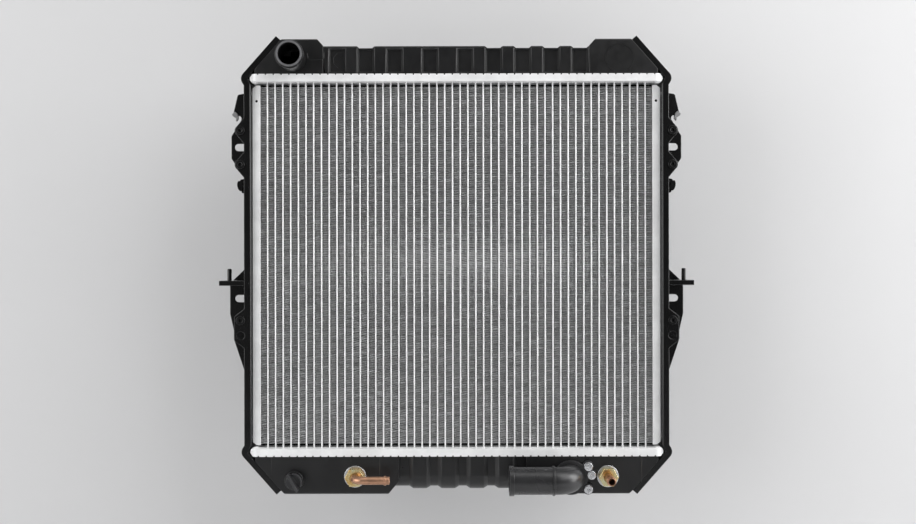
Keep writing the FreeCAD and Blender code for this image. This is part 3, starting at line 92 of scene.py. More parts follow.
class RadiatorCoreSettings(bpy.types.PropertyGroup):
    """The folded, louvred fins between the tubes"""
    columns: IntProperty(name="Fin columns", description="Columns of folded fin across the core",
                         default=51, min=1)
    banks: IntProperty(name="Banks", description="Pieces that share the columns out", default=6, min=1)
    seed: IntProperty(name="Seed", description="Which uneven places the folds take", default=7, min=0)
    width: length("Fin width", "Gap between two tubes, which a column fills", 8.0 * MM)
    inset: length("Inset", "How far the fins stand back from the tubes' edges", 0.25 * MM)
    period: length("Fold pitch", "Height of one full fold of the fin", 3.0 * MM)
    sheet: length("Fin sheet", "Thickness of the folded sheet", 0.24 * MM)
    crest: length("Crest", "Height of the fold's flat where it meets a tube", 0.55 * MM)
    unevenness: length("Unevenness", "How far a fold may stand from its even place", 0.3 * MM)
    slats: IntProperty(name="Louvres", description="Louvres on each fold, at the front and at the back",
                       default=2, min=1, max=6)
    slat_pitch: length("Louvre pitch", "Depth of core that one louvre takes", 1.5 * MM)
    slat_long: length("Louvre length", "Length of a louvre front to back", 1.3 * MM)
    slat_tilt: FloatProperty(name="Louvre tilt", description="Slant of the louvres", unit="ROTATION",
                             default=math.radians(34))
    # Painted shade: how light the louvres of the folds that lean down are painted
    shaded: FloatProperty(name="Shaded folds", description="Lightness of the folds that lean down",
                          default=0.22, min=0.0, max=1.0)
    end_gap: length("End gap", "Bare tube between the last fold and the header", 2.2 * MM)


class RadiatorRounding(bpy.types.PropertyGroup):
    """How far the outer edges are rounded"""
    plastic: length("Moulded edges", "Rounding of the tanks' edges", 0.8 * MM)
    elbow: length("Elbow edges", "Rounding of the outlet elbow's edges", 0.56 * MM)
    sheet_metal: length("Sheet edges", "Rounding of the side plates' edges", 0.3 * MM)
    bracket: length("Bracket edges", "Rounding of the painted brackets' edges", 0.8 * MM)
    header: length("Header edges", "Rounding of the headers' edges", 0.45 * MM)
    hardware: length("Hardware edges", "Rounding of nuts, screws and pipes", 0.5 * MM)


class RadiatorColours(bpy.types.PropertyGroup):
    """Colours of the plastics, paint, metals and rubber"""
    plastic: colour("Tank plastic", "Glass filled black plastic", (0.006, 0.006, 0.0064))
    plastic_worn: colour("Tank plastic, grey", "The plastic's grey bloom", (0.011, 0.011, 0.0115))
    elbow: colour("Elbow plastic", "Greyer glass filled plastic", (0.018, 0.018, 0.019))
    # Partly painted highlight: the neck's cut lip, painted much lighter than the tank to stand for the
    # light its rim reflects
    cut_lip_highlight: colour("Cut plastic", "The neck's machined lip", (0.11, 0.11, 0.115))
    nylon: colour("Nylon", "Pale clip", (0.32, 0.32, 0.325))
    paint: colour("Bracket paint", "Black gloss dip paint", (0.0012, 0.0012, 0.0013))
    aluminium: colour("Aluminium", "Brazed sheet", (0.94, 0.943, 0.946))
    fin: colour("Fin", "Thin folded sheet", (0.74, 0.745, 0.75))
    zinc: colour("Zinc", "Bright zinc plate", (0.78, 0.79, 0.81))
    gold: colour("Yellow zinc", "Yellow passivated plate", (0.85, 0.56, 0.20))
    green: colour("Yellow zinc, green tinge", "Where the plate shows green", (0.80, 0.80, 0.52))
    copper: colour("Copper", "Drawn copper pipe", (0.42, 0.235, 0.15))
    brass: colour("Brass", "Plain brass", (0.70, 0.50, 0.22))
    rubber: colour("Rubber", "Black seal rubber", (0.018, 0.018, 0.018))


class RadiatorStage(bpy.types.PropertyGroup):
    """Camera, backdrop and lights"""
    distance: length("Camera distance", "Camera to the front of the core", 1.25)
    lens: FloatProperty(name="Lens", description="Focal length", default=37.9, min=1.0,
                        subtype="DISTANCE_CAMERA")
    aim_side: FloatProperty(name="Aim to the side", description="Camera axis right of the core's middle",
                            default=1.9 * MM, unit="LENGTH")
    aim_up: FloatProperty(name="Aim up", description="Camera axis above the core's middle",
                          default=3.9 * MM, unit="LENGTH")
    roll: FloatProperty(name="Roll", description="Camera roll", default=math.radians(0.1),
                        unit="ROTATION")
    wall_gap: length("Backdrop gap", "Backdrop behind the object", 0.13)
    floor_drop: length("Floor drop", "Floor below the object", 0.45)
    backdrop: colour("Backdrop", "Pale paper", (0.66, 0.66, 0.665))
    key_power: power("Key light", "Power of the light at the upper right", 28.0)
    fill_power: power("Fill light", "Power of the light at the left", 31.0)
    top_power: power("Top light", "Power of the overhead light", 11.0)
    side_power: power("Side light", "Power of the light at the right side", 38.0)
    low_power: power("Low light", "Power of the light from below", 33.0)
    world: FloatProperty(name="Room light", description="Strength of the even light", default=0.12)


# ---- shader groups ------------------------------------------------------------------------------------

def new_group(name, inputs, outputs):
    """An empty shader node group with named float, colour or vector sockets."""
    group = bpy.data.node_groups.new(name, "ShaderNodeTree")
    kinds = {"value": "NodeSocketFloat", "colour": "NodeSocketColor", "vector": "NodeSocketVector"}
    for label, kind, default in inputs:
        socket = group.interface.new_socket(label, in_out="INPUT", socket_type=kinds[kind])
        if default is not None:
            socket.default_value = default
    for label, kind in outputs:
        group.interface.new_socket(label, in_out="OUTPUT", socket_type=kinds[kind])
    return group, group.nodes.new("NodeGroupInput"), group.nodes.new("NodeGroupOutput")


def add(tree, kind, values=None, **settings):
    """A node with its settings and unlinked input values."""
    node = tree.nodes.new("ShaderNode" + kind)
    for name, setting in settings.items():
        setattr(node, name, setting)
    for name, number in (values or {}).items():
        node.inputs[name].default_value = number
    return node


def grain_group():
    """Fine moulded or painted grain: a height that mixes two scales of noise, and the coarse one as a
    mask."""
    group, ins, outs = new_group(
        "Fine Grain", [("Vector", "vector", None), ("Scale", "value", 900.0), ("Coarse", "value", 0.35)],
        [("Height", "value"), ("Mask", "value")])
    fine = add(group, "TexNoise", {"Detail": 3.0, "Roughness": 0.6})
    group.links.new(ins.outputs["Vector"], fine.inputs["Vector"])
    group.links.new(ins.outputs["Scale"], fine.inputs["Scale"])
    scale = add(group, "Math", {1: 0.08}, operation="MULTIPLY")
    group.links.new(ins.outputs["Scale"], scale.inputs[0])
    coarse = add(group, "TexNoise", {"Detail": 2.0})
    group.links.new(ins.outputs["Vector"], coarse.inputs["Vector"])
    group.links.new(scale.outputs[0], coarse.inputs["Scale"])
    mix = add(group, "Mix", data_type="FLOAT")
    group.links.new(ins.outputs["Coarse"], mix.inputs[0])
    group.links.new(fine.outputs[0], mix.inputs[2])
    group.links.new(coarse.outputs[0], mix.inputs[3])
    group.links.new(mix.outputs[0], outs.inputs["Height"])
    group.links.new(coarse.outputs[0], outs.inputs["Mask"])
    return group


def mottle_group():
    """Two colours mixed by soft cloudy noise, for bloom, dust and uneven plating."""
    group, ins, outs = new_group(
        "Mottle", [("Vector", "vector", None), ("First", "colour", (0.5, 0.5, 0.5, 1)),
                   ("Second", "colour", (0.6, 0.6, 0.6, 1)), ("Scale", "value", 30.0),
                   ("Low", "value", 0.35), ("High", "value", 0.65)],
        [("Colour", "colour"), ("Mask", "value")])
    noise = add(group, "TexNoise", {"Detail": 4.0, "Roughness": 0.55})
    group.links.new(ins.outputs["Vector"], noise.inputs["Vector"])
    group.links.new(ins.outputs["Scale"], noise.inputs["Scale"])
    ramp = add(group, "MapRange")
    group.links.new(noise.outputs[0], ramp.inputs["Value"])
    group.links.new(ins.outputs["Low"], ramp.inputs["From Min"])
    group.links.new(ins.outputs["High"], ramp.inputs["From Max"])
    mix = add(group, "Mix", data_type="RGBA")
    group.links.new(ramp.outputs[0], mix.inputs[0])
    group.links.new(ins.outputs["First"], mix.inputs[6])
    group.links.new(ins.outputs["Second"], mix.inputs[7])
    group.links.new(mix.outputs[2], outs.inputs["Colour"])
    group.links.new(ramp.outputs[0], outs.inputs["Mask"])
    return group


def streak_group():
    """Drawn or brushed streaks: noise stretched along one axis, as a height."""
    group, ins, outs = new_group(
        "Drawn Streaks", [("Vector", "vector", None), ("Stretch", "vector", (1.0, 1.0, 1.0)),
                          ("Scale", "value", 600.0)], [("Height", "value")])
    mapping = add(group, "Mapping")
    group.links.new(ins.outputs["Vector"], mapping.inputs["Vector"])
    group.links.new(ins.outputs["Stretch"], mapping.inputs["Scale"])
    noise = add(group, "TexNoise", {"Detail": 3.0})
    group.links.new(mapping.outputs[0], noise.inputs["Vector"])
    group.links.new(ins.outputs["Scale"], noise.inputs["Scale"])
    group.links.new(noise.outputs[0], outs.inputs["Height"])
    return group


GROUPS = {}
SMOOTHEST = 0.02    # least roughness of any finish


def use_group(tree, name, vector, values):
    """Place a shared group in a material's tree."""
    makers = {"grain": grain_group, "mottle": mottle_group, "streaks": streak_group}
    if name not in GROUPS:
        GROUPS[name] = makers[name]()
    node = tree.nodes.new("ShaderNodeGroup")
    node.node_tree = GROUPS[name]
    tree.links.new(vector, node.inputs["Vector"])
    for label, number in values.items():
        node.inputs[label].default_value = number
    return node


def with_alpha(rgb):
    return (rgb[0], rgb[1], rgb[2], 1.0)


def times(rgb, factor):
    """A colour made lighter or darker."""
    return tuple(factor * part for part in rgb)


def surface(name, first, second, roughness, metallic=0.0, mottle_scale=30.0, grain_scale=900.0,
            bump=0.00004, specular=0.5, streaks=None, rough_change=0.12):
    """A finish: mottled colour, grain or drawn streaks as bump, and roughness that changes with them."""
    material = bpy.data.materials.new(name)
    material.use_nodes = True
    tree = material.node_tree
    shader = tree.nodes["Principled BSDF"]
    place = add(tree, "TexCoord").outputs["Object"]
    mottle = use_group(tree, "mottle", place, {"First": with_alpha(first), "Second": with_alpha(second),
                                               "Scale": mottle_scale})
    tree.links.new(mottle.outputs["Colour"], shader.inputs["Base Color"])
    rough = add(tree, "MapRange", {"To Min": max(roughness - rough_change, SMOOTHEST),
                                   "To Max": min(roughness + rough_change, 1.0)})
    if streaks:
        relief = use_group(tree, "streaks", place, {"Stretch": streaks, "Scale": grain_scale})
        tree.links.new(relief.outputs["Height"], rough.inputs["Value"])
    else:
        relief = use_group(tree, "grain", place, {"Scale": grain_scale})
        tree.links.new(relief.outputs["Mask"], rough.inputs["Value"])
    tree.links.new(rough.outputs[0], shader.inputs["Roughness"])
    bumps = add(tree, "Bump", {"Strength": 1.0, "Distance": bump})
    tree.links.new(relief.outputs["Height"], bumps.inputs["Height"])
    tree.links.new(bumps.outputs[0], shader.inputs["Normal"])
    shader.inputs["Metallic"].default_value = metallic
    shader.inputs["Specular IOR Level"].default_value = specular
    return material


def shaded(material):
    """Multiply the material's colour by the mesh attribute shade, which holds painted shade."""
    tree = material.node_tree
    shader = tree.nodes["Principled BSDF"]
    source = shader.inputs["Base Color"].links[0].from_socket
    attribute = add(tree, "Attribute", attribute_name="shade", attribute_type="GEOMETRY")
    mix = add(tree, "Mix", {0: 1.0}, data_type="RGBA", blend_type="MULTIPLY")
    tree.links.new(source, mix.inputs[6])
    tree.links.new(attribute.outputs["Fac"], mix.inputs[7])
    tree.links.new(mix.outputs[2], shader.inputs["Base Color"])
    return material


MATERIALS = {}


def finish_for(slot):
    """The material of a record slot, or of a finish within one, made once."""
    if slot in MATERIALS:
        return MATERIALS[slot]
    c = bpy.context.scene.radiator_colours
    makers = {
        "black_plastic": lambda: surface(
            "Tank_plastic", c.plastic, c.plastic_worn, 0.34, mottle_scale=22.0, grain_scale=1500.0,
            bump=0.00003),
        "gloss_plastic": lambda: surface(
            "Elbow_plastic", c.elbow, times(c.elbow, 1.4), 0.3, mottle_scale=60.0, grain_scale=420.0,
            bump=0.00012, specular=0.55),
        "black_paint": lambda: surface(
            "Bracket_paint", c.paint, times(c.paint, 2.2), 0.22, mottle_scale=45.0, grain_scale=350.0,
            rough_change=0.05),
        "sheet_aluminium": lambda: surface(
            "Brazed_sheet", c.aluminium, times(c.aluminium, 0.86), 0.42, 0.12, mottle_scale=35.0,
            grain_scale=500.0, bump=0.00003),
        "tube_aluminium": lambda: surface(
            "Tube_sheet", c.aluminium, times(c.aluminium, 0.86), 0.4, 0.3, mottle_scale=60.0,
            streaks=(1.0, 1.0, 0.04), bump=0.00001),
        # the fins' louvres carry painted shade through the face attribute shade
        "fin_aluminium": lambda: shaded(surface(
            "Fin_sheet", c.fin, times(c.fin, 0.75), 0.36, 0.45, mottle_scale=140.0, grain_scale=1800.0,
            bump=0.00002)),
        "zinc": lambda: surface(
            "Zinc_plate", c.zinc, times(c.zinc, 0.8), 0.26, 0.9, mottle_scale=160.0, grain_scale=1500.0,
            bump=0.00002),
        "gold_zinc": lambda: surface(
            "Yellow_zinc_plate", c.gold, c.green, 0.24, 0.9, mottle_scale=95.0, grain_scale=1500.0,
            bump=0.00002),
        "copper_pipe": lambda: surface(
            "Copper", c.copper, times(c.copper, 1.4), 0.34, 0.85, mottle_scale=120.0, grain_scale=1100.0,
            bump=0.00003),
        "brass": lambda: surface("Brass", c.brass, times(c.brass, 0.75), 0.3, 0.9, mottle_scale=120.0),
        # the neck's cut lip, partly a painted highlight
        "cut_plastic_highlight": lambda: surface(
            "Cut_plastic", c.cut_lip_highlight, times(c.cut_lip_highlight, 1.3), 0.5, mottle_scale=160.0,
            grain_scale=1500.0),
        "cock_plastic": lambda: surface(
            "Cock_plastic", times(c.plastic, 5), times(c.plastic, 7), 0.35, mottle_scale=120.0),
        # painted shade: a dark, matt sheet standing where there is only shade, at the fins' ends and
        # behind the side plates' holes
        "painted_gap_shade": lambda: surface("Shaded_flux", c.paint, c.plastic, 0.9, specular=0.05),
        "nylon": lambda: surface("Pale_nylon", c.nylon, times(c.nylon, 0.8), 0.45, mottle_scale=120.0),
        "rubber": lambda: surface(
            "Seal_rubber", c.rubber, times(c.rubber, 1.6), 0.7, mottle_scale=80.0, grain_scale=1400.0),
    }
    MATERIALS[slot] = makers[slot]()
    return MATERIALS[slot]


# ---- meshes -------------------------------------------------------------------------------------------

SLOT_OF = {row["node"]: row["material_slot"] for row in frame["record"]["subparts"]}
BODY_OF = {node: body for body, names in frame["record"]["behaviour"]["bodies"].items() for node in names}


def new_piece(name, mesh, nodes, slot):
    """Link a finished mesh as a piece that stands for CAD nodes and rides on their body."""
    piece = bpy.data.objects.new(name, mesh)
    bpy.context.collection.objects.link(piece)
    mesh.materials.clear()
    mesh.materials.append(finish_for(slot))
    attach(piece, BODY_OF[nodes[0]])
    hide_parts(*nodes)
    return piece


def mesh_from(name, points, faces):
    """A mesh from an array of points and an array of quads."""
    mesh = bpy.data.meshes.new(name)
    mesh.from_pydata(points.tolist(), [], faces.tolist())
    mesh.update()
    return mesh


def keep_node(name):
    """A CAD piece whose shape is right keeps its mesh and gets its finish."""
    node = frame["nodes"][name]
    node.data.materials.clear()
    node.data.materials.append(finish_for(SLOT_OF[name]))


MERGE = 0.004 * MM    # points closer than this become one
FLAT = 0.6            # degrees that count as one flat
ROUND = 28.0          # degrees of turn from which an edge is rounded


def round_off(name, width, segments=2, finish=None, simplify=True):
    """A copy of a CAD piece with its doubles merged, its flats simplified, and each edge that turns by
    more than ROUND rounded to width if it is an outer one and kept sharp if it is inner."""
    mesh = frame["nodes"][name].data.copy()
    mesh.name = name + "_dressed"
    work = bmesh.new()
    work.from_mesh(mesh)
    bmesh.ops.remove_doubles(work, verts=work.verts, dist=MERGE)
    if simplify:
        bmesh.ops.dissolve_limit(work, angle_limit=math.radians(FLAT), verts=work.verts, edges=work.edges)
        bmesh.ops.triangulate(work, faces=[face for face in work.faces if len(face.verts) > 4])
    weight = work.edges.layers.float.new("bevel_weight_edge")
    for edge in work.edges:
        turn = math.degrees(edge.calc_face_angle_signed()) if edge.is_manifold else 0.0
        if turn > ROUND:
            edge[weight] = 1.0
        edge.smooth = turn > -ROUND
    work.to_mesh(mesh)
    work.free()
    mesh.shade_smooth()
    piece = new_piece(name + "_dressed", mesh, [name], SLOT_OF[name])
    if finish:
        mesh.materials[0] = finish_for(finish)
    bevel = piece.modifiers.new("Rounding", "BEVEL")
    bevel.width = width
    bevel.segments = segments
    bevel.limit_method = "WEIGHT"
    bevel.face_strength_mode = "FSTR_AFFECTED"
    bevel.use_clamp_overlap = False
    bevel.loop_slide = False
    bevel.miter_outer = "MITER_ARC"
    weighted = piece.modifiers.new("Flat faces", "WEIGHTED_NORMAL")
    weighted.use_face_influence = True
    weighted.keep_sharp = True


# ---- fins ---------------------------------------------------------------------------------------------

def fold_line(settings, width, low, high, random):
    """The folded sheet's middle line, seen from the front: x swings between the two tubes and z climbs.
    Point 2k and 2k+1 are the two ends of crest k, on alternate sides; each crest is shifted by a little
    random height."""
    count = int((high - low - settings.crest) / (settings.period / 2))
    centre = low + settings.crest / 2 + settings.period / 2 * np.arange(count + 1)
    centre[1:-1] += random.uniform(-1, 1, count - 1) * settings.unevenness
    side = np.where(np.arange(count + 1) % 2 == 0, -1.0, 1.0) * (width / 2 - settings.sheet / 2)
    x = np.repeat(side, 2)
    z = np.repeat(centre, 2)
    z[0::2] -= settings.crest / 2
    z[1::2] += settings.crest / 2
    return x, z


def ribbon(x, z, front, back, thick):
    """A closed sheet along the line (x, z): the line shifted half the thickness to each side by its
    normal, at the front and at the back, joined by quads. The third result, 1 for each face, is its
    painted lightness: the sheet itself gets no painted shade."""
    step_x, step_z = np.gradient(x), np.gradient(z)
    size = np.hypot(step_x, step_z)
    shift = np.stack([-step_z / size, step_x / size], axis=1) * thick / 2
    rows = []
    for sign, y in ((1, front), (1, back), (-1, back), (-1, front)):
        rows.append(np.stack([x + sign * shift[:, 0], np.full(len(x), y), z + sign * shift[:, 1]],
                             axis=1))
    count = len(x)
    points = np.concatenate(rows)
    along = np.arange(count - 1)
    faces = []
    for row in range(4):
        here, there = row * count, (row + 1) % 4 * count
        faces.append(np.stack([here + along, there + along, there + along + 1, here + along + 1], axis=1))
    ends = np.array([[0, 3 * count, 2 * count, count],
                     [count - 1, 2 * count - 1, 3 * count - 1, 4 * count - 1]])
    faces = np.concatenate(faces + [ends])
    return points, faces, np.ones(len(faces))


BOX_CORNERS = np.array([(i, j, k) for i in (-0.5, 0.5) for j in (-0.5, 0.5) for k in (-0.5, 0.5)])
BOX_FACES = np.array([(0, 1, 3, 2), (4, 6, 7, 5), (0, 4, 5, 1), (2, 3, 7, 6), (0, 2, 6, 4), (1, 5, 7, 3)])
FIRST_SLAT = 0.6              # place of the first slat, in louvre pitches from the fin's edge
SLAT_ACROSS = 0.86            # how much of a fold a slat spans
SLAT_THICK = 0.7              # a slat's thickness over the sheet's
LEAN_SPREAD = (0.55, 1.25)    # least and most tilt over the set one
SHADE_SPREAD = (0.6, 1.2)     # least and most painted lightness of a fold over the set one


def louvres(settings, x, z, front, back, random):
    """Slanted slats across each fold: thin boxes in rows behind the front and before the back. They were
    cut before the sheet was folded, so their tilt about x changes side from one fold to the next, and
    the rear rows lean against the front ones. Each slat is sheared along the fold to follow its slope.
    The third result is each face's painted shade: folds that lean down are painted darker, and each
    fold by its own random amount."""
    start, end = slice(1, -1, 2), slice(2, None, 2)
    run = x[end] - x[start]
    middle = np.stack([(x[end] + x[start]) / 2, (z[end] + z[start]) / 2], axis=1)
    slope = (z[end] - z[start]) / run
    steps = (np.arange(settings.slats) + FIRST_SLAT) * settings.slat_pitch
    places = np.concatenate([front + steps, back - steps])
    lean = (np.where(run > 0, 1.0, -1.0) * random.uniform(*LEAN_SPREAD, len(run))
            * math.tan(settings.slat_tilt))
    tilt = lean[:, None] * np.repeat([1.0, -1.0], settings.slats)[None, :]
    across = BOX_CORNERS[:, 0] * SLAT_ACROSS
    along = BOX_CORNERS[:, 1] * settings.slat_long
    points = np.zeros((len(run), len(places), 8, 3))
    points[..., 0] = middle[:, None, None, 0] + run[:, None, None] * across
    points[..., 1] = places[None, :, None] + along
    rise = tilt[:, :, None] * along + BOX_CORNERS[:, 2] * settings.sheet * SLAT_THICK
    points[..., 2] = middle[:, None, None, 1] + slope[:, None, None] * run[:, None, None] * across + rise
    boxes = len(run) * len(places)
    faces = BOX_FACES[None] + 8 * np.arange(boxes)[:, None, None]
    flipped = np.repeat(run < 0, len(places))
    faces[flipped] = faces[flipped][:, :, ::-1]
    # painted shade: louvres of folds that lean down are painted darker, and every fold by its own random
    # amount
    shade = np.where(run > 0, 1.0, settings.shaded) * random.uniform(*SHADE_SPREAD, len(run))
    return points.reshape(-1, 3), faces.reshape(-1, 4), np.repeat(shade, 6 * len(places))


def fin_bank(settings, name, first, last, random):
    """Columns first to last of folded, louvred fin as one mesh: each column is the same fold line and
    louvres, shifted by the pitch, with its own random heights."""
    low, high = CORE_LOW, CORE_HIGH
    pitch = (high.x - low.x - settings.width) / (settings.columns - 1)
    front, back = low.y + settings.inset, high.y - settings.inset
    bottom, top = low.z + settings.end_gap, high.z - settings.end_gap
    all_points, all_faces, all_shades, offset = [], [], [], 0
    for column in range(first, last):
        x, z = fold_line(settings, settings.width, bottom, top, random)
        for points, faces, shade in (ribbon(x, z, front, back, settings.sheet),
                                     louvres(settings, x, z, front, back, random)):
            all_points.append(points + np.array([low.x + settings.width / 2 + pitch * column, 0, 0]))
            all_faces.append(faces + offset)
            all_shades.append(shade)
            offset += len(points)
    mesh = mesh_from(name, np.concatenate(all_points), np.concatenate(all_faces))
    # the painted shade as a face attribute, which the fin material multiplies its colour by
    layer = mesh.attributes.new("shade", "FLOAT", "FACE")
    layer.data.foreach_set("value", np.concatenate(all_shades).astype(np.float32))
    return mesh


# ---- small shapes -------------------------------------------------------------------------------------

def prism(outline, front, back):
    """A straight prism along y over an outline of (x, z) points: the outline at the front and at the
    back, a quad along each side and one face on each end."""
    outline = np.asarray(outline)
    count = len(outline)
    rings = [np.stack([outline[:, 0], np.full(count, y), outline[:, 1]], axis=1) for y in (front, back)]
    here = np.arange(count)
    ahead = np.roll(here, -1)
    sides = np.stack([here, here + count, ahead + count, ahead], axis=1).tolist()
    faces = sides + [here.tolist(), (here[::-1] + count).tolist()]
    return np.concatenate(rings), faces


def annulus(centre, inner, outer, front, back, steps=96):
    """A flat ring facing y: a rectangle, from inner to outer and front to back, turned round the
    centre."""
    turn = np.linspace(0, 2 * math.pi, steps, endpoint=False)
    rings = []
    for radius, y in ((outer, front), (outer, back), (inner, back), (inner, front)):
        rings.append(np.stack([centre[0] + radius * np.cos(turn), np.full(steps, y),
                               centre[1] + radius * np.sin(turn)], axis=1))
    here = np.arange(steps)
    ahead = np.roll(here, -1)
    faces = [np.stack([row * steps + here, (row + 1) % 4 * steps + here, (row + 1) % 4 * steps + ahead,
                       row * steps + ahead], axis=1) for row in range(4)]
    return np.concatenate(rings), np.concatenate(faces).tolist()


def ridge(line, wide, face, high):
    """A raised line on a front face: a triangular section carried along (x, z) points, its crest high in
    front of the face and its foot sunk a quarter of that into it, so that the two meet."""
    line = np.asarray(line)
    step = np.gradient(line, axis=0)
    size = np.hypot(step[:, 0], step[:, 1])[:, None]
    side = np.stack([-step[:, 1], step[:, 0]], axis=1) / size * wide / 2
    foot = face + high / 4
    rows = [(line + side, foot), (line, face - high), (line - side, foot)]
    points = [np.stack([flat[:, 0], np.full(len(line), y), flat[:, 1]], axis=1) for flat, y in rows]
    count = len(line)
    here = np.arange(count - 1)
    faces = [np.stack([row * count + here, row * count + here + 1, (row + 1) % 3 * count + here + 1,
                       (row + 1) % 3 * count + here], axis=1) for row in range(3)]
    faces = np.concatenate(faces).tolist()
    faces += [[0, count, 2 * count], [3 * count - 1, 2 * count - 1, count - 1]]
    return np.concatenate(points), faces


def arc(centre, radius, start, end, steps=48):
    """Points evenly along a circle from start to end, in degrees."""
    turn = np.radians(np.linspace(start, end, steps))
    return np.stack([centre[0] + radius * np.cos(turn), centre[1] + radius * np.sin(turn)], axis=1)


def shapes_piece(name, shapes, nodes, slot, finish=None):
    """Several small shapes as one piece, each given as (points, faces)."""
    points, faces, offset = [], [], 0
    for some_points, some_faces in shapes:
        points += some_points.tolist()
        faces += [[index + offset for index in face] for face in some_faces]
        offset += len(some_points)
    mesh = bpy.data.meshes.new(name)
    mesh.from_pydata(points, [], faces)
    mesh.update()
    work = bmesh.new()
    work.from_mesh(mesh)
    bmesh.ops.recalc_face_normals(work, faces=work.faces)
    work.to_mesh(mesh)
    work.free()
    new_piece(name, mesh, nodes, slot)
    if finish:
        mesh.materials[0] = finish_for(finish)


# ---- small details' sizes -----------------------------------------------------------------------------

END_SHADE_BACK = 1.2 * MM                     # from the fins' front back to the painted shade at their ends
BACKING_THICK = 1.0 * MM                 # thickness of the painted shade at the fins' ends and behind the plates' holes
SHADE_IN = (2.0 * MM, 3.0 * MM)          # from a side plate's inner and outer edge in to that painted shade
SHADE_DOWN = (8.0 * MM, 30.0 * MM)       # from the plate's top down to the shade's top and bottom
SHADE_BACK = 4.0 * MM                    # from the plate's front back to the shade

NECK, NECK_MOUTH = (-210.0 * MM, 209.5 * MM), -82.05 * MM    # the inlet's middle, and its end's y
LIP_RADII, LIP_DEEP = (14.1 * MM, 16.6 * MM), 0.5 * MM       # the neck's cut lip
PANEL_FLOOR, BOX_FACE = -47.0 * MM, -52.0 * MM               # fronts of the sunk panels and end boxes
MARK_WIDE, MARK_HIGH = 0.8 * MM, 0.3 * MM                    # the tanks' raised mould lines
ROUND_MARK = ((-147.6 * MM, 207.5 * MM), 11.0 * MM, 115, 245)
FRAME_MARK = MM * np.array([(-191.5, 216.0), (-190.5, 209.0), (-187.0, 207.5), (-172.0, 207.5),
                            (-170.0, 210.0), (-170.0, 217.0)])
SEAMS = ((-238.2, -304, -327), (-136.2, -304, -309), (-99.2, -304, -336), (237.2, -304, -336))

NUB = MM * np.array([(298.8, 144.3), (297.6, 142.0), (293.3, 139.3), (293.3, 136.0), (290.9, 139.3),
                     (291.7, 144.8), (294.9, 148.2)])        # the clip tab's pale tip, on the right
NUB_SPAN = (-7.0 * MM, 0.5 * MM)
LEAF_MIDDLE, LEAF_HALF, LEAF_LEAN = (287.0, 48.5), (3.4, 7.0), -12.0    # the leaf-shaped tab below it
LEAF_SPAN, LEAF_NECK_SPAN = (-13.0 * MM, -11.0 * MM), (-12.8 * MM, -11.2 * MM)
LEAF_NECK = MM * np.array([(288, 53), (278, 50), (278, 59), (286, 57)])


def leaf_outline(way):
    """An ellipse leaning outwards at the top, about the leaf's middle, on the side that way gives."""
    lean = math.radians(LEAF_LEAN * way)
    turn = np.linspace(0, 2 * math.pi, 32, endpoint=False)
    x, z = LEAF_HALF[0] * np.cos(turn), LEAF_HALF[1] * np.sin(turn)
    return MM * np.stack([LEAF_MIDDLE[0] * way + x * math.cos(lean) - z * math.sin(lean),
                          LEAF_MIDDLE[1] + x * math.sin(lean) + z * math.cos(lean)], axis=1)


# ---- operators ----------------------------------------------------------------------------------------

class RADIATOR_OT_fins(bpy.types.Operator):
    """Fill the core with columns of folded, louvred fin, and a strip of painted shade at each end"""
    bl_idname = "radiator.fins"
    bl_label = "Core fins"

    def execute(self, context):
        settings = context.scene.radiator_core
        random = np.random.default_rng(settings.seed)
        edges = np.linspace(0, settings.columns, settings.banks + 1).astype(int)
        for number, (first, last) in enumerate(zip(edges[:-1], edges[1:])):
            mesh = fin_bank(settings, f"fin_bank_{number}", first, last, random)
            new_piece(f"fin_bank_{number}", mesh, ["core_fins"], "fin_aluminium")
        # Painted shade: a dark strip across each end gap of the fins, standing for the shade under the
        # headers.
        left, right = CORE_LOW.x, CORE_HIGH.x
        strips = []
        for low, high in ((CORE_LOW.z, CORE_LOW.z + settings.end_gap),
                          (CORE_HIGH.z - settings.end_gap, CORE_HIGH.z)):
            corners = [(left, low), (right, low), (right, high), (left, high)]
            strips.append(prism(corners, CORE_LOW.y + END_SHADE_BACK, CORE_LOW.y + END_SHADE_BACK + BACKING_THICK))
        shapes_piece("fin_end_flux", strips, ["core_fins"], "fin_aluminium", "painted_gap_shade")
        return {"FINISHED"}


class RADIATOR_OT_core_metal(bpy.types.Operator):
    """Finish the tubes, side plates and crimped headers, with painted shade behind the plates' holes"""
    bl_idname = "radiator.core_metal"
    bl_label = "Tubes, plates and headers"

    def execute(self, context):
        rounding = context.scene.radiator_rounding
        keep_node("core_tubes")
        for name in ("right_side_plate", "left_side_plate"):
            round_off(name, rounding.sheet_metal)
        for name in ("top_header", "bottom_header"):
            round_off(name, rounding.header)
        # Painted shade: a dark sheet behind each side plate's holes, standing for the shade behind them.
        low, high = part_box("right_side_plate")
        left, right = low.x + SHADE_IN[0], high.x - SHADE_IN[1]
        bottom, top = high.z - SHADE_DOWN[1], high.z - SHADE_DOWN[0]
        corners = np.array([(left, bottom), (right, bottom), (right, top), (left, top)])
        front = low.y + SHADE_BACK
        for way, name in ((1, "right_side_plate"), (-1, "left_side_plate")):
            shade = prism(corners[::way] * (way, 1), front, front + BACKING_THICK)
            shapes_piece(f"{name}_shade", [shade], [name], "sheet_aluminium", "painted_gap_shade")
        return {"FINISHED"}


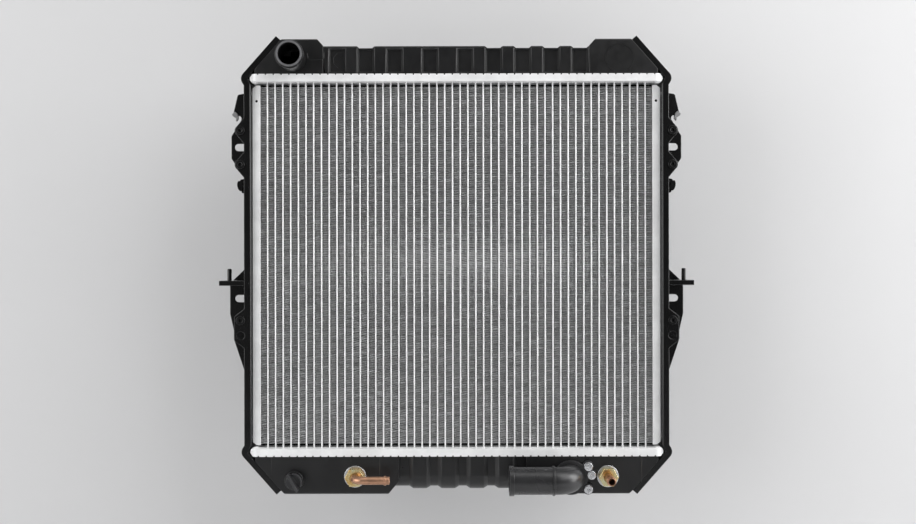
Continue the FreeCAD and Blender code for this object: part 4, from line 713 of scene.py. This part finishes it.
class RADIATOR_OT_tanks(bpy.types.Operator):
    """Finish the two moulded tanks and their gaskets"""
    bl_idname = "radiator.tanks"
    bl_label = "Tanks"

    def execute(self, context):
        for name in ("top_tank", "bottom_tank"):
            round_off(name, context.scene.radiator_rounding.plastic, segments=3, simplify=False)
        for name in ("top_gasket", "bottom_gasket"):
            keep_node(name)
        # The neck's cut lip, painted lighter as a highlight on its rim.
        lip = annulus(NECK, *LIP_RADII, NECK_MOUTH, NECK_MOUTH + LIP_DEEP)
        shapes_piece("neck_lip", [lip], ["top_tank"], "black_plastic", "cut_plastic_highlight")
        marks = [ridge(arc(*ROUND_MARK), MARK_WIDE, PANEL_FLOOR, MARK_HIGH),
                 ridge(FRAME_MARK, MARK_WIDE, BOX_FACE, MARK_HIGH)]
        shapes_piece("top_tank_marks", marks, ["top_tank"], "black_plastic")
        seams = [ridge(np.array([(x, high), (x, low)]) * MM, MARK_WIDE, BOX_FACE, MARK_HIGH)
                 for x, high, low in SEAMS]
        shapes_piece("bottom_tank_marks", seams, ["bottom_tank"], "black_plastic")
        return {"FINISHED"}


class RADIATOR_OT_brackets(bpy.types.Operator):
    """Finish the painted brackets with their shelves, pins, tabs, nuts and bolts"""
    bl_idname = "radiator.brackets"
    bl_label = "Brackets"

    def execute(self, context):
        rounding = context.scene.radiator_rounding
        for side in ("right", "left"):
            for part in ("bracket", "pin_shelf", "clip_tab"):
                round_off(f"{side}_{part}", rounding.bracket)
            for part in ("weld_nuts", "locating_pin"):
                round_off(f"{side}_{part}", rounding.hardware)
        round_off("bracket_bolts", rounding.hardware)
        keep_node("bracket_inserts")
        for side, way in (("left", -1), ("right", 1)):
            nub = prism(NUB[::way] * (way, 1), *NUB_SPAN)
            shapes_piece(f"{side}_nub", [nub], [f"{side}_clip_tab"], "black_paint", "nylon")
            neck = prism(LEAF_NECK[::-way] * (way, 1), *LEAF_NECK_SPAN)
            shapes_piece(f"{side}_leaf", [prism(leaf_outline(way), *LEAF_SPAN), neck],
                         [f"{side}_clip_tab"], "black_paint")
        return {"FINISHED"}


class RADIATOR_OT_outlet(bpy.types.Operator):
    """Finish the outlet elbow with its seal and screws"""
    bl_idname = "radiator.outlet"
    bl_label = "Outlet elbow"

    def execute(self, context):
        rounding = context.scene.radiator_rounding
        round_off("outlet_elbow", rounding.elbow, segments=3)
        round_off("outlet_screws", rounding.hardware)
        keep_node("outlet_o_ring")
        return {"FINISHED"}


class RADIATOR_OT_oil_cooler(bpy.types.Operator):
    """Finish the oil cooler, its nuts, washers and pipes"""
    bl_idname = "radiator.oil_cooler"
    bl_label = "Oil cooler"

    def execute(self, context):
        rounding = context.scene.radiator_rounding
        for name in ("cooler_nuts", "cooler_washers", "left_cooler_pipe", "right_cooler_pipe"):
            round_off(name, rounding.hardware)
        for name in ("cooler_outer_tube", "cooler_inner_tube", "cooler_end_rings", "cooler_turbulator",
                     "cooler_ports", "cooler_gaskets"):
            keep_node(name)
        return {"FINISHED"}


class RADIATOR_OT_drain(bpy.types.Operator):
    """Finish the winged drain cock and its seal"""
    bl_idname = "radiator.drain"
    bl_label = "Drain cock"

    def execute(self, context):
        round_off("drain_cock", context.scene.radiator_rounding.hardware, finish="cock_plastic")
        keep_node("drain_seal")
        return {"FINISHED"}


# ---- stage --------------------------------------------------------------------------------------------

COVE = 0.25           # radius between floor and wall
NEAR_END = -4.0       # y of the floor's near end
TALLEST = 4.0         # z of the wall's top
HALF_WIDE = 5.0       # half the backdrop's width
FULL_FRAME = 36.0     # sensor width, in millimetres
LIGHTS = (            # name, place from the core's middle, width and height
    ("key", (1.5, -1.2, 1.3), (1.8, 1.8)),
    ("fill", (-1.9, -1.2, 0.3), (1.8, 1.8)),
    ("top", (0.0, -0.9, 2.0), (2.4, 1.2)),
    ("side", (2.0, -0.25, 0.3), (1.2, 1.6)),
    ("low", (0.0, -0.9, -1.5), (2.4, 1.0)))


def backdrop_mesh(settings):
    """Floor, cove and wall as one sheet: a profile in y and z, straight, then a quarter circle, then
    straight, carried along x."""
    low, high = CAD_BOX
    wall = high[1] + settings.wall_gap
    floor = low[2] - settings.floor_drop
    turn = np.linspace(0, math.pi / 2, 25)
    y = np.concatenate([[NEAR_END], wall - COVE + COVE * np.sin(turn), [wall]])
    z = np.concatenate([[floor], floor + COVE - COVE * np.cos(turn), [TALLEST]])
    left = np.stack([np.full(len(y), -HALF_WIDE), y, z], axis=1)
    right = left * np.array([-1, 1, 1])
    index = np.arange(len(y) - 1)
    count = len(y)
    faces = np.stack([index, count + index, count + index + 1, index + 1], axis=1)
    return mesh_from("backdrop", np.concatenate([left, right]), faces)


def paper_material(settings):
    """Pale matt paper with a faint cloudiness, and clear where its back is seen, so that it hides nothing
    from behind."""
    tint = tuple(settings.backdrop)
    paper = surface("Backdrop_paper", tint, times(tint, 0.985), 0.9, mottle_scale=3.0, grain_scale=300.0,
                    specular=0.1, bump=0.00001)
    nodes, links = paper.node_tree.nodes, paper.node_tree.links
    output = next(node for node in nodes if node.type == "OUTPUT_MATERIAL")
    front = output.inputs["Surface"].links[0].from_socket
    sides = nodes.new("ShaderNodeMixShader")
    links.new(nodes.new("ShaderNodeNewGeometry").outputs["Backfacing"], sides.inputs[0])
    links.new(front, sides.inputs[1])
    links.new(nodes.new("ShaderNodeBsdfTransparent").outputs[0], sides.inputs[2])
    links.new(sides.outputs[0], output.inputs["Surface"])
    return paper


def add_light(name, place, target, size, power):
    """A rectangular soft light that faces its target."""
    lamp = bpy.data.lights.new(name, "AREA")
    lamp.shape = "RECTANGLE"
    lamp.size, lamp.size_y = size
    lamp.energy = power
    holder = bpy.data.objects.new(name, lamp)
    bpy.context.collection.objects.link(holder)
    holder.location = place
    holder.visible_camera = False
    direction = target - holder.location
    holder.rotation_euler = direction.to_track_quat("-Z", "Y").to_euler()


class RADIATOR_OT_stage(bpy.types.Operator):
    """Set the floor, backdrop, lights and camera"""
    bl_idname = "radiator.stage"
    bl_label = "Stage"

    def execute(self, context):
        settings = context.scene.radiator_stage
        mesh = backdrop_mesh(settings)
        mesh.shade_smooth()
        mesh.materials.append(paper_material(settings))
        backdrop = bpy.data.objects.new("backdrop", mesh)
        context.collection.objects.link(backdrop)
        aim = CORE_MIDDLE.copy()
        for name, place, size in LIGHTS:
            add_light(name, aim + Vector(place), aim, size, getattr(settings, name + "_power"))
        world = bpy.data.worlds.new("Room")
        world.use_nodes = True
        world.node_tree.nodes["Background"].inputs["Color"].default_value = (1, 1, 1, 1)
        world.node_tree.nodes["Background"].inputs["Strength"].default_value = settings.world
        context.scene.world = world
        camera = bpy.data.objects.new("camera", bpy.data.cameras.new("camera"))
        context.collection.objects.link(camera)
        camera.data.lens = settings.lens
        camera.data.sensor_width = FULL_FRAME
        camera.location = (aim.x + settings.aim_side, CORE_LOW.y - settings.distance,
                           aim.z + settings.aim_up)
        camera.rotation_euler = (math.pi / 2, settings.roll, 0.0)
        context.scene.camera = camera
        context.scene.view_settings.view_transform = "Standard"
        return {"FINISHED"}


# ---- panel and registration ---------------------------------------------------------------------------

STEPS = (RADIATOR_OT_fins, RADIATOR_OT_core_metal, RADIATOR_OT_tanks, RADIATOR_OT_brackets,
         RADIATOR_OT_outlet, RADIATOR_OT_oil_cooler, RADIATOR_OT_drain, RADIATOR_OT_stage)
SETTINGS = (("radiator_core", RadiatorCoreSettings), ("radiator_rounding", RadiatorRounding),
            ("radiator_colours", RadiatorColours), ("radiator_stage", RadiatorStage))


class RADIATOR_PT_panel(bpy.types.Panel):
    """Steps that dress the radiator, and their settings"""
    bl_idname = "RADIATOR_PT_panel"
    bl_label = "Radiator"
    bl_space_type = "VIEW_3D"
    bl_region_type = "UI"
    bl_category = "Radiator"

    def draw(self, context):
        for step in STEPS:
            self.layout.operator(step.bl_idname)
        for name, group in SETTINGS:
            column = self.layout.column()
            for prop in group.__annotations__:
                column.prop(getattr(context.scene, name), prop)


def register():
    for name, group in SETTINGS:
        bpy.utils.register_class(group)
        setattr(bpy.types.Scene, name, PointerProperty(type=group))
    for step in STEPS:
        bpy.utils.register_class(step)
    bpy.utils.register_class(RADIATOR_PT_panel)


def unregister():
    bpy.utils.unregister_class(RADIATOR_PT_panel)
    for step in reversed(STEPS):
        bpy.utils.unregister_class(step)
    for name, group in reversed(SETTINGS):
        delattr(bpy.types.Scene, name)
        bpy.utils.unregister_class(group)


def main():
    """Dress the part step by step."""
    register()
    for step in STEPS:
        area, verb = step.bl_idname.split(".")
        getattr(getattr(bpy.ops, area), verb)()


if __name__ == "__main__":
    main()
